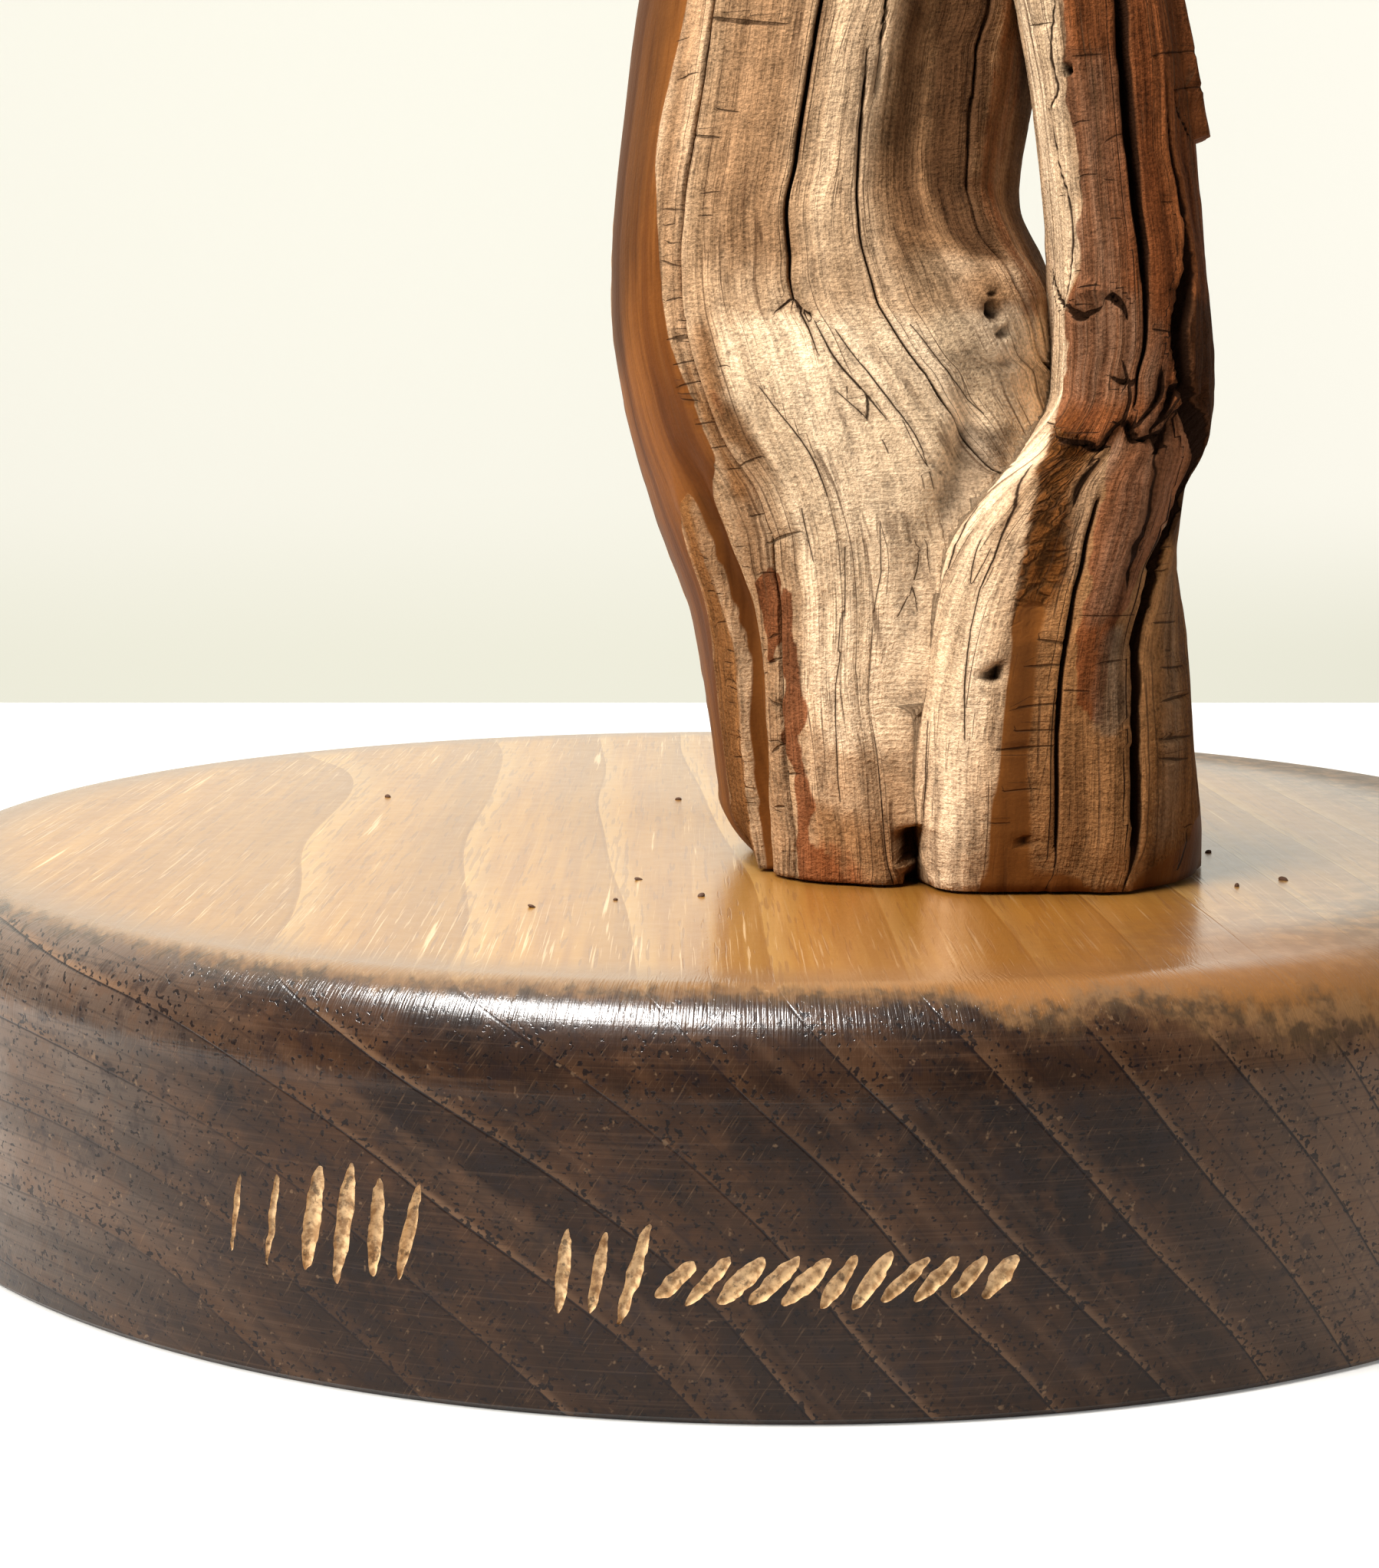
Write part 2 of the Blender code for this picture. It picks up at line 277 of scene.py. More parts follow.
# The trunk, in millimetres above its foot. Angles run round a ring: 0 left, 90 front, 180 right, 270 back
trunkForm = {
    # height, left, right, front, back, squareness: the same rings as the CAD solid
    "stations": [
        (0, -22.0, 12.0, -18.0, 23.0, 0.90), (13, -24.0, 12.0, -17.5, 22.5, 0.90),
        (23, -25.6, 12.5, -17.5, 22.0, 0.90), (34, -29.7, 13.0, -18.0, 22.0, 0.90),
        (43, -32.2, 11.0, -18.0, 22.0, 0.88), (52, -33.2, 9.6, -16.5, 22.0, 0.88),
        (57, -33.2, 7.2, -15.8, 21.8, 0.87), (62, -33.0, 5.2, -15.0, 21.5, 0.86),
        (72, -31.9, 6.6, -13.5, 21.0, 0.86), (80, -30.8, 7.5, -12.5, 21.0, 0.86),
        (93, -28.0, 9.0, -11.5, 20.0, 0.88), (113, -23.0, 7.0, -9.0, 18.0, 0.90),
        (133, -17.0, 3.0, -5.0, 15.0, 0.92), (148, -12.0, -1.0, 0.0, 12.0, 0.95),
        (160, -9.0, -3.5, 2.5, 8.5, 1.00),
    ],
    # path of (height, angle), half width, rise, lowest, highest
    "swells": [
        ([(0, 35.8), (6.3, 38.3), (13, 41.7), (19.8, 42.4), (24.7, 42.3), (29.6, 41.5), (33.7, 41),
         (40, 40)], 1.2, -1.6, -10, 40),
        ([(0, 32.3), (6, 34), (13, 37), (19.7, 38.5), (24.6, 36), (29.5, 35), (34, 31.5)],
         0.7, 0.6, -10, 38),
        ([(50, 87), (80, 90)], 4.0, 0.9, 52, 132),
        ([(55, 112), (80, 112)], 4.5, -1.9, 57, 140),
        ([(50, 133), (80, 130)], 3.0, 0.8, 57, 126),
        ([(40, 126), (60, 126)], 6.0, 1.9, 44, 62),
        ([(0, 218), (70, 228), (160, 214)], 5.0, -1.6, -10, 150),
        ([(0, 262), (60, 255), (160, 268)], 6.0, 1.4, -10, 140),
        ([(0, 300), (90, 288), (160, 300)], 4.0, -1.5, 8, 150),
        ([(30, 99), (33.8, 102.5), (38, 108), (42, 113)], 1.5, -1.5, 26, 48),
    ],
    "flakes": [],
    "brokenEnd": [0.0, -3.4, -0.8, -4.6, -1.6, -3.8],
    # main splits, which the mesh's columns follow: nominal angle, path
    "rails": [
        (52.5, [*leftSplitLow, *leftSplitHigh, (125, 62), (160, 64)]),
        (83.5, [*footCrack, (31, 85), (38, 85), (46.9, 82.8), (48.8, 81.9), (50.9, 79.6), *chevronSplit,
         (140, 90), (160, 90)]),
        (100, [(0, 112), (20, 118), *middleSplit, (68, 95.4), (73.7, 95.6), (78, 97.3), (100, 99),
         (160, 104)]),
        (131, [(0, 150), (34, 153), *rightSplit, (160, 134)]),
    ],
    # path of (height, angle), widths along it, depth, wander
    "splits": [
        # the long split on the left, open to the base
        (leftSplitLow, (0.12, 0.2, 0.25, 0.2, 0.3, 0.15), 0.9, 0.12),
        ([(31.0, 60.6), *leftSplitHigh, (122, 61)], (0.2, 0.3, 0.45, 0.7, 0.8, 0.75, 0.6, 0.5, 0.3),
         2.0, 0.06),
        # the split that ends in a chevron above the shelf, and its arms
        ([(51.9, 78.8), *chevronSplit, (136, 90)], (0.6, 0.75, 0.6, 0.55, 0.5, 0.45, 0.3, 0.2),
         1.9, 0.05),
        ([(51.9, 78.8), (51.4, 76.6), (50.7, 74.0)], (0.5, 0.45, 0.15), 0.7, 0.1),
        ([(51.9, 78.8), (50.9, 80.6), (50.3, 83.0)], (0.5, 0.35, 0.4), 0.7, 0.1),
        ([(51.5, 79.2), (48.8, 81.9), (46.9, 82.8)], (0.35, 0.25, 0.12), 0.5, 0.05),
        # lines that sweep down over the shelf
        ([(50.1, 82.8), (46.9, 85.8), (44.3, 89.4), (42.6, 91.4), (41.4, 93)], (0.12, 0.3, 0.4, 0.15),
         0.4, 0.05),
        ([(49.4, 86.5), (46, 90.4), (44.1, 92.8), (41.2, 96.9), (39, 98.7), (35, 99.6)],
         (0.12, 0.28, 0.2, 0.14), 0.3, 0.05),
        ([(43.9, 85.3), (41.8, 89.3), (39.7, 91.3), (37.1, 92.3)], (0.12, 0.2, 0.1), 0.25, 0.05),
        ([(49.8, 100.5), (45.9, 107.6), (43.4, 113.3), (41.7, 117.7)], (0.12, 0.16, 0.1), 0.2, 0.05),
        # the middle split, in two overlapping lengths
        ([(69.3, 97.3), (78, 97.3), (100, 99), (130, 101)], (0.15, 0.4, 0.45, 0.3), 1.5, 0.04),
        ([*middleSplit, (68, 95.1), (73.7, 94.2)], (0.35, 0.6, 0.6, 0.4, 0.25, 0.35, 0.4, 0.4, 0.2),
         1.2, 0.04),
        # the split at the right, which ends behind the limb
        ([*rightSplit, (112, 129)], (0.3, 0.35, 0.5, 0.6, 0.45, 0.5, 0.4, 0.35), 1.9, 0.06),
        # fine lines below the shelf
        ([(44.4, 68.1), (42, 72.1), (39.9, 75.2), (37.6, 77.2), (34.4, 77.8)], (0.1, 0.25, 0.1),
         0.2, 0.06),
        ([(33.9, 71.1), (28.7, 70.8)], (0.1, 0.15, 0.08), 0.15, 0.05),
        ([(31.6, 93.7), (29.4, 94), (26.4, 90.9), (23.4, 87.9)], (0.08, 0.15, 0.08), 0.15, 0.05),
        ([(33.1, 88.3), (27.7, 86), (24.4, 83.3), (19, 80.8)], (0.08, 0.15, 0.08), 0.15, 0.05),
        ([(30.7, 79.7), (25.9, 76.8), (18, 71.7)], (0.08, 0.15, 0.08), 0.15, 0.05),
        ([(24.3, 74.7), (16.1, 71), (6.7, 69.4)], (0.1, 0.15, 0.08), 0.15, 0.05),
        # the crack up from the foot
        (footCrack, (0.5, 0.4, 0.2, 0.1, 0.06), 0.5, 0.05),
    ],
    # cross checks: height, from angle, to angle, width, rise of the far end
    "checks": [
        (76.7, 55.6, 77.5, 0.45, -1.0), (66.4, 55.3, 62.7, 0.3, -0.3), (68.7, 60.5, 67.8, 0.14, -0.5),
        (61.2, 57.6, 64.3, 0.12, 0.1), (60.1, 44.9, 51.8, 0.2, -0.2), (55.6, 42.4, 49.4, 0.22, -0.6),
        (52.0, 42.7, 48.8, 0.2, 0.2), (48.6, 42.2, 49.7, 0.18, 0.3), (46.3, 43.0, 50.6, 0.16, 0.3),
        (44.4, 43.5, 51.8, 0.16, 0.4), (41.0, 47.2, 53.8, 0.16, 0.2), (38.9, 50.6, 55.2, 0.14, 0.2),
        (37.0, 53.1, 57.0, 0.14, 0.1), (37.3, 57.3, 65.4, 0.18, 0.9), (32.8, 55.7, 60.0, 0.16, 0.3),
        (30.4, 59.0, 69.9, 0.26, 1.2), (27.7, 52.3, 58.0, 0.2, 0.2), (71.6, 46.0, 53.0, 0.16, 0.4),
        (22.0, 52.0, 55.5, 0.3, 0.3), (19.6, 50.5, 54.8, 0.3, 0.5), (16.2, 50.0, 54.0, 0.3, -0.5),
        (11.5, 48.4, 53.0, 0.25, 0.8), (9.5, 53.0, 57.5, 0.2, 0.2),
    ],
    "randomChecks": [(43, 51, 40, 76, 7), (27, 37, 2, 30, 20), (46, 52, 2, 30, 10), (56, 62, 46, 66, 2)],
    "splitWidth": 0.45, "grainShift": (11.1, 3.9, 0.0),
    "footRound": (2.6, 5.5, 34),  # how far the foot's left edge is rounded in, how high, and how far round
    # pits: height, angle, half height, half width, depth, turn in degrees
    "pits": [
        (50.8, 120.1, 0.95, 0.5, 1.4, 35), (52.4, 120.6, 0.45, 0.4, 0.7, 0),
        (48.9, 122.6, 0.6, 0.35, 0.8, 30), (53.6, 113.1, 0.35, 0.25, 0.3, 0),
        (46.3, 123.8, 0.5, 0.9, 0.35, 10), (47.2, 62.3, 0.5, 0.3, 0.2, 20),
    ],
    # patches of colour: tint, left edge path, right edge path, lowest, highest, strength, softness
    "patches": [
        # the oiled flank, and the oiled groove beside it low down
        ("polish", [(0, -90), (160, -90)], [(0, 15), (5.3, 16.8), (15.8, 19.4), (24.4, 23.4),
         (29.4, 24.8), (32, 28), (34.5, 34), (36.5, 45), (38, 50.5), (40.6, 49.4), (43.3, 47.9),
         (46.8, 44.4), (49.5, 42.6), (53.2, 41.7), (60, 42), (66.6, 40), (73, 42.5), (78, 44.5),
         (110, 48), (160, 50)], -9, 170, 1.0, 0.5),
        ("polish", [(0, 33.5), (6.2, 35.6), (13, 38.3), (19.7, 40.2), (24.6, 38.6), (29.5, 38),
         (33.7, 37.4), (37, 34)], [(0, 38), (6.4, 41), (13.1, 45.2), (19.8, 44.6), (24.7, 46),
         (29.6, 45.1), (33.7, 45), (38, 50.5)], -9, 38.5, 1.0, 0.3),
        # painted shade down the oiled groove
        ("dark", [(0, 33.8), (6.2, 36), (13, 38.8), (19.7, 40.6), (24.6, 39.2), (29.5, 38.6), (35, 38)],
         [(0, 37.6), (6.4, 40.4), (13.1, 44), (19.8, 43.6), (24.7, 44.6), (29.5, 43.4), (35, 42)],
         -9, 35, 0.36, 0.5),
        # the flank darkens upward and towards its outline
        ("dark", [(36, -90), (160, -90)], [(36, 6), (46, 18), (54, 28), (66, 39), (160, 49)],
         46, 170, 0.68, 2.4),
        ("dark", [(0, -90), (160, -90)], [(0, 6), (30, 12), (44, 6), (160, 6)], -9, 170, 0.35, 2.0),
        ("brown", [(0, 15), (15.8, 19.4), (24.4, 23.4), (33, 28)], [*flankEdge, (29.5, 34.6), (33, 36),
         (36, 38)], -9, 37, 1.0, 0.5),
        ("brown", [(20, 33), (33, 30)], [(20, 39), (28, 39), (36, 39)], 21, 37, 0.65, 0.8),
        ("pale", [*flankEdge, (29.5, 34), (33, 30.8)], [(0, 33.5), (6.2, 35.3), (13, 38.1), (19.7, 39.6),
         (24.6, 37.6), (29.5, 36.6), (33, 32)], -9, 27, 0.4, (0.3, 1.2)),
        ("brown", [(0, 40), (13, 45), (26, 48), (36, 52)], [(0, 52), (13, 53), (26, 56), (36, 60)],
         -9, 37, 0.5, 0.8),
        # red remnants of the outer skin beside the long split
        ("red", [(19.5, 50), (26.7, 50.2), (28.2, 56.5)], [(19.5, 53.6), (24, 57), (27.4, 59.3),
         (28.2, 57.5)], 19.8, 28, 0.95, 0.22),
        ("red", [(0.2, 54.2), (1.4, 52.8), (4.2, 55.3), (6.8, 55.4), (10.1, 55.1), (12.1, 52.6),
         (16.7, 54.7), (19.9, 54.6), (27.8, 60.9)], [(0, 69.5), (2.1, 65.1), (4.3, 58.2), (6.9, 61.1),
         (10.2, 60.1), (11.9, 59.6), (15.8, 62.8), (17.7, 60.5), (21.3, 61.8), (22.3, 60.2), (26, 62.6)],
         -9, 26.2, 0.78, 0.35),
        ("brown", [(36, 59), (38.6, 59), (40, 55), (42.3, 53.8), (45, 52), (48.5, 52), (50, 53)],
         [(36, 64), (38.6, 66), (40, 64.4), (43.6, 61.6), (48.3, 58.6), (50, 56)], 37, 50, 0.85, 1.0),
        ("red", [(36, 60), (40, 57), (44, 53.6), (50, 54)], [(36, 61), (40, 61), (44, 57.5), (50, 55)],
         38, 47, 0.5, 1.2),
        ("brown", [(36, 52), (40.6, 50), (43.4, 48.4), (46, 45.5)], [(36, 58.4), (40.1, 55.4), (42.7, 53),
         (46, 50.5)], 34, 47, 0.9, 0.9),
        ("brown", [(47, 43), (60, 42), (78, 44)], [(47, 49), (60, 51), (78, 53)], 46, 165, 0.5, 1.0),
        ("brown", [(0, 56), (8, 60)], [(0, 96), (8, 92)], -9, 7, 0.85, 2.0),
        ("brown", [(2, 56), (14, 62)], [(2, 100), (14, 96)], 4, 16, 0.3, 3.0),
        ("red", [(0, 56), (5, 60)], [(0, 80), (3, 74), (6, 66)], -9, 5, 0.55, 2.2),
        ("brown", [(11, 80), (20, 82)], [(11, 110), (20, 110)], 11, 22, 0.4, 2.6),
        # browner wood above the shelf, in streaks, and dark wood right of the middle split
        ("brown", [(54, 58), (66, 60), (160, 62)], [(54, 82), (60, 82), (78, 84), (160, 88)],
         54.5, 170, 0.62, 2.4),
        ("brown", [(54, 100), (78, 101), (160, 106)], [(54, 140), (78, 140), (160, 144)],
         55, 170, 0.75, 1.6),
        ("dark", [(55, 110), (58, 106), (64, 104.5), (80, 101), (160, 104)], [(55, 115), (64, 114),
         (80, 111), (160, 113)], 57, 170, 0.7, 1.3),
        ("dark", [(55, 120), (58, 114), (64, 114.5), (80, 112), (160, 115)], [(55, 128), (66, 131),
         (160, 134)], 55.5, 170, 0.85, 1.0),
        ("dark", [(48, 96), (54, 96), (66, 98)], [(48, 140), (54, 140), (66, 140)], 53, 170, 0.2, 3.0),
        ("dark", [(57, 92.3), (78, 95), (100, 97)], [(57, 93.8), (78, 97), (100, 99)], 58, 75, 0.4, 0.5),
        ("brown", [(45, 112), (54, 114)], [(45, 127), (54, 128)], 44, 55, 0.75, 2.2),
        ("dark", [(47, 113), (52, 112)], [(47, 124), (52, 123)], 46.5, 53, 0.3, 1.4),
        ("red", [(50, 127), (58, 126), (66, 128), (78, 130), (160, 132)], [(50, 136), (58, 140),
         (66, 147), (78, 150), (160, 152)], 50, 165, 0.5, 1.2),
        ("dark", [(48, 141), (60, 146), (80, 146)], [(48, 200), (80, 205)], 44, 165, 0.2, 2.0),
        ("brown", [(48, 136), (66, 140), (80, 142)], [(48, 200), (80, 205)], 44, 165, 0.7, 1.5),
        # the bleached shelf and the wood below it, made paler still as painted light
        ("pale", [(4, 74), (18, 64), (30, 66), (38, 66), (46, 59), (52, 60), (56, 60)], [(4, 150),
         (56, 150)], 12, 50.5, 1.0, 2.2),
        ("pale", [(44, 51), (78, 53)], [(44, 56), (52, 60), (56, 61), (66, 63), (78, 64)],
         46, 160, 0.15, 1.0),
        ("brown", [(37, 78), (42, 76)], [(37, 86), (42, 84)], 35, 44, 0.25, 2.4),
        # the shaded fold beside the limb
        ("dark", [(30, 96.5), (33.8, 100), (36.5, 105), (40, 110)], [(30, 112), (34, 116), (40, 124)],
         31, 41, 0.6, 0.8),
    ],
}

# The limb, told in the same way, from the same foot
limbForm = {
    "stations": [
        (0, -11.5, 22.6, -22.0, 18.0, 0.78), (10, -11.5, 21.8, -21.5, 17.0, 0.78),
        (18, -10.8, 21.0, -21.0, 15.0, 0.80), (24, -9.6, 20.0, -20.8, 13.0, 0.82),
        (30, -7.0, 19.1, -20.8, 10.0, 0.85), (35, -1.9, 19.2, -21.0, 6.0, 0.88),
        (39, 3.6, 20.5, -21.0, 2.0, 0.90), (44, 6.7, 20.8, -20.8, -1.0, 0.90),
        (52, 6.4, 19.9, -20.0, -3.5, 0.88), (58, 6.1, 19.1, -19.5, -4.0, 0.88),
        (69, 4.9, 17.7, -19.0, -4.0, 0.88), (78, 3.3, 16.3, -18.0, -3.0, 0.88),
        (93, 0.0, 12.8, -16.0, -1.0, 0.90), (108, -3.5, 9.0, -13.0, 1.0, 0.92),
        (120, -5.0, 5.5, -10.5, 2.0, 0.95), (128, -4.5, 1.0, -9.0, 0.5, 1.00),
    ],
    "swells": [
        ([(0, 68), (10, 75), (24, 76), (31, 72), (40, 52)], 3.2, 1.2, -10, 42),
        ([(0, 50), (24, 52), (34, 46)], 4.0, -0.8, -10, 34),
        ([(0, 107), (25, 108), (34, 118)], 2.4, 0.8, -10, 44),
        ([(48, 40), (80, 40)], 2.5, 0.5, 44, 100),
        ([(0, 232), (60, 240), (128, 232)], 3.5, -1.2, 36, 120),
        ([(0, 285), (128, 285)], 3.0, 0.9, 36, 112),
    ],
    "flakes": [(158, 202, 66.0, 92.0, 1.3)],
    "brokenEnd": [0.0, -2.8, -0.6, -1.8, -0.4, -3.0],
    "rails": [
        (90, [*limbSplitLow, (38, 89), *limbSplitHigh, (128, 102)]),
        (122, [(0, 109.5), (5.5, 112.8), (11.2, 114.8), (18.2, 115.3), (20.6, 116.3), (23.5, 120.2),
         (25.8, 126.3), (28.5, 132.1), (31, 140.8), (34.3, 144.9), (38, 136), (42, 122), (44.5, 114.1),
         (45.7, 116.2), (49.1, 120.3), (52.1, 123.1), (56.1, 124.3), (59.1, 123.2), (62.1, 121.5),
         (64, 117.8), (68, 122), (72.5, 129.1), (90, 134), (128, 136)]),
    ],
    "splits": [
        # the middle split above the break, and its left twin below it
        ([*limbSplitHigh, (118, 101)], (0.2, 0.5, 1.15, 1.4, 1.4, 1.2, 1.0, 0.8, 0.6, 0.5, 0.4),
         2.6, 0.05),
        (limbSplitLow, (0.12, 0.3, 0.35, 0.4, 0.4, 0.35, 0.2), 1.6, 0.05),
        # the right split, wide and black at the break, and its thinner length above
        ([(0.2, 108.9), (3, 112.4), (10.8, 113.9), (17.1, 115.7), (21.8, 117.7), (24.8, 122.9),
         (31, 136.5), (34, 147), (37, 152), (40, 140), (42, 126), (44.8, 113.8), (48.6, 112.4),
         (51.9, 118.9), (55.3, 126.5), (58.6, 126.5)],
         (0.9, 1.2, 1.6, 1.2, 1.3, 1.5, 1.7, 2.0, 2.4, 2.6, 2.4, 2.0, 1.9, 2.0, 1.6, 1.2), 2.8, 0.12),
        ([(58.4, 126.5), (61.3, 123.9), (63.9, 120.5), (67.2, 121.2), (70, 124)],
         (1.1, 0.8, 0.55, 0.3, 0.12), 1.8, 0.06),
        # the torn line where the upper wood has broken off
        ([(41.2, 26.1), (39.5, 51.8), (39.3, 63.8), (38.7, 76.6), (39.7, 75.3), (40.9, 76.3),
         (41.3, 79.2), (40.8, 85.1), (39.5, 92.5), (40.1, 101), (38.8, 107.4), (41.1, 106.1),
         (42.2, 111.4), (42.9, 120.8)], (0.15, 0.2, 0.45, 0.7, 0.35, 0.6, 0.7, 0.5, 0.8), 1.1, 0.16),
        # lines beside the lower splits
        ([(40.6, 104), (38.3, 106.3), (36.7, 113.5), (34, 117.5), (32.1, 119.7), (30.8, 116.3),
         (26.5, 113.1)], (0.15, 0.12, 0.14, 0.2, 0.7, 0.6, 0.1), 0.7, 0.08),
        ([(37.9, 80.4), (34, 88.1)], (0.3, 0.5, 0.2), 0.6, 0.06),
        ([(45, 65.8), (44.5, 74), (44.3, 81.8)], (0.3, 0.5, 0.3), 0.6, 0.12),
        ([(46.3, 74.7), (43, 79), (40.7, 81)], (0.2, 0.3, 0.4), 0.4, 0.1),
        ([(45.5, 97), (43.6, 96), (41.8, 91), (40.6, 89)], (0.5, 0.9, 0.7, 0.4), 1.0, 0.12),
        ([(44.3, 104.5), (42, 101), (40.4, 97)], (1.2, 0.8, 0.3), 1.2, 0.1),
        ([(38.1, 76), (36.5, 81.8), (34.8, 85.4)], (0.25, 0.2, 0.1), 0.4, 0.06),
        ([(33.8, 46.1), (31.5, 50.8), (28.9, 53.6), (26.4, 53.4)], (0.1, 0.15, 0.1), 0.2, 0.05),
        ([(37.5, 46.8), (33.4, 66.7), (29.4, 71.7), (26.3, 70.8), (22.7, 70.4)], (0.1, 0.18, 0.12, 0.08),
         0.2, 0.05),
        ([(31.1, 62.5), (27.1, 66.3)], (0.08, 0.14, 0.08), 0.15, 0.05),
        ([(14.9, 57.8), (6.1, 58.7)], (0.08, 0.14, 0.08), 0.15, 0.05),
        ([(24.5, 70.1), (18.4, 70.2), (13.4, 71.7)], (0.08, 0.14, 0.08), 0.15, 0.05),
        # lines in the pale strip and round the knot
        ([(77.1, 50.5), (71.6, 38.9), (69.8, 41.7), (67.8, 29.8), (63.7, 32.7), (60.3, 40.4),
         (57.2, 41.7), (54.2, 37.8), (51.3, 28)], (0.12, 0.2, 0.14, 0.2, 0.12), 0.3, 0.06),
        ([(51.2, 32), (50.9, 37), (50.3, 43), (50.2, 50), (50.6, 57), (51.0, 63)],
         (0.5, 0.8, 1.1, 0.9, 0.5, 0.15), 1.0, 0.22),
        ([(51.6, 66), (51.9, 70), (51.3, 74.5), (50.7, 78), (49.9, 79.6)], (0.3, 0.8, 0.9, 0.5, 0.15),
         1.0, 0.1),
        ([(52.6, 48.6), (52.8, 62.3)], (0.12, 0.2, 0.12), 0.3, 0.06),
        ([(54.5, 2), (52.4, 14), (51.7, 21.8), (51.1, 31)], (0.5, 0.8, 0.8, 0.4), 1.0, 0.1),
        ([(49, 92.8), (48.8, 104.5)], (0.2, 0.12), 0.3, 0.06),
        ([(69.5, 135.3), (68.6, 134.9), (65.8, 146.5)], (0.15, 0.3, 0.3), 0.5, 0.05),
        ([(0.8, 136.8), (4.7, 143.8)], (0.6, 0.1), 0.8, 0.04),
    ],
    "checks": [
        (75.4, 19.6, 46.1, 0.14, -0.2), (72.2, 56.9, 80.8, 0.16, 0.1), (66.5, 51, 63.6, 0.14, 0.2),
        (62.1, 51.8, 66.6, 0.14, 0.1), (64.9, 73.6, 86.5, 0.14, 0.7), (61.7, 71.7, 77.9, 0.12, 0),
        (58.5, 73, 81.2, 0.12, -0.1), (72.2, 114.2, 163, 0.18, 1.0), (69.5, 135.3, 162.9, 0.16, 0.6),
        (23.6, 126.6, 145.5, 0.2, -0.1), (19.6, 128.6, 149.1, 0.2, -0.2), (16.6, 128.3, 150, 0.26, 0.2),
        (13.3, 124.6, 148, 0.22, -0.2), (11.6, 124.2, 145.7, 0.24, -0.5), (22.3, 88.5, 94.6, 0.22, -0.3),
        (19.9, 86.5, 93.6, 0.24, 0.2), (16.3, 84.5, 92.9, 0.2, 0.4), (14.3, 84.5, 92.6, 0.16, 0.1),
        (12.6, 80.0, 92.4, 0.18, 0.4), (17.8, 93.5, 100, 0.12, 0), (20.3, 103, 110, 0.2, 0.2),
        (24.4, 97, 118, 0.1, 0), (9.0, 82, 90, 0.1, 0.2), (6.2, 78, 84, 0.08, 0),
    ],
    "randomChecks": [(22, 50, 54, 78, 4), (100, 118, 44, 78, 3), (126, 150, 2, 34, 5)],
    "splitWidth": 0.85, "grainShift": (5.3, 12.0, 0.0),
    "footRound": (0.8, 4.0, 175),
    # the torn edge: its (angle, height), how far the wood below lies back, and how far down that goes
    "tornEdge": ([
        (26, 41.2), (51.8, 39.5), (63.8, 39.3), (74, 38.7), (75.6, 40.0), (79.2, 41.3), (85.1, 40.8),
        (92.5, 39.5), (101, 40.1), (104, 39.0), (106, 41.1), (111.4, 42.2), (120.8, 42.9), (140, 44),
    ], 0.8, 6.0),
    "pits": [
        (71.1, 51.8, 0.5, 0.5, 1.2, 0), (52.3, 56.1, 0.8, 1.2, -0.5, 0), (19.4, 78.2, 0.85, 0.62, 1.9, 0),
        (4.5, 86.6, 0.5, 0.8, 0.8, 0),
    ],
    "patches": [
        # the pale strip down the limb's left side, then the red wood right of it
        ("pale", [(40, -60), (128, -60)], [(41.5, 26.6), *paleStripEdge], 40, 140, 0.6, 0.6),
        ("red", [(38, 66), (40, 52), (41.5, 32), *paleStripEdge], [(38, 215), (128, 215)],
         39, 140, 1.0, 0.6),
        ("grey", [(40, 30), (52, 36), (56, 50)], [(40, 90), (48, 96), (52, 84), (56, 66)],
         43, 53, 0.4, 1.6),
        ("dark", [(41, 60), (56, 40)], [(41, 110), (56, 110)], 41, 52, 0.25, 2.0),
        ("brown", [(40, 40), (52, 36), (56, 52), (128, 64)], [(40, 215), (128, 215)], 40, 140, 1.0, 0.6),
        ("dark", [(66, 51), (80, 58)], [(66, 92), (80, 96)], 67, 130, 0.4, 2.0),
        ("dark", [(56, 130), (80, 136)], [(56, 180), (80, 190)], 46, 130, 0.35, 1.2),
        # torn fibres under the break, running into the oiled band
        ("fibre", [(24.5, 82.5), (26.6, 82), (29.6, 80.4), (33.3, 73.5), (35.4, 65.7), (38, 50),
         (40.5, 32)], [(24.5, 88), (28.7, 94.5), (32.1, 90.5), (36.3, 79.5), (38.6, 70), (40.5, 60)], 23,
         40.6, 1.0, (0.5, 1.8)),
        ("fibre", [(38, 56), (40, 40), (42, 29), (46, 28)], [(38, 74), (41, 62), (43, 46), (45, 36)],
         38, 44, 0.45, 1.2),
        ("dark", [(0, 92), (14, 94), (24, 97)], [(0, 110), (14, 113), (22, 113)], -9, 15, 0.22, 2.0),
        ("grey", [(53, 40), (62, 46), (74, 56)], [(53, 78), (62, 82), (74, 84)], 52, 72, 0.4, 2.0),
        ("polish", [*oiledBandEdge, (27, 83)], [(0, 88), (4.5, 88), (10.9, 87.4), (15.2, 88.4),
         (19.4, 88.6), (27, 90)], -9, 25.5, 0.95, (0.25, 1.6)),
        ("dark", [(0, 75.5), (10.9, 80.6), (21.5, 82.1)], [(0, 89), (10.9, 89), (27, 90)],
         -9, 22, 0.38, 0.5),
        ("brown", [*oiledBandEdge, (26.6, 82.6), (29.6, 81), (33.3, 74), (35.4, 65.7), (38.1, 49.1),
         (41.1, 30)], [(0, 215), (44, 215)], -9, 40.6, 0.95, 0.5),
        # the smooth red plate between the two splits below the break
        ("red", [(15.6, 99), (16.9, 97.4), (19.4, 96.2), (22.8, 97), (27.1, 99.6), (34.2, 97.6), (37, 90),
         (39, 82), (41.5, 76)], [(15.6, 103), (19, 106), (22.5, 107), (25, 113), (28, 121), (31, 132),
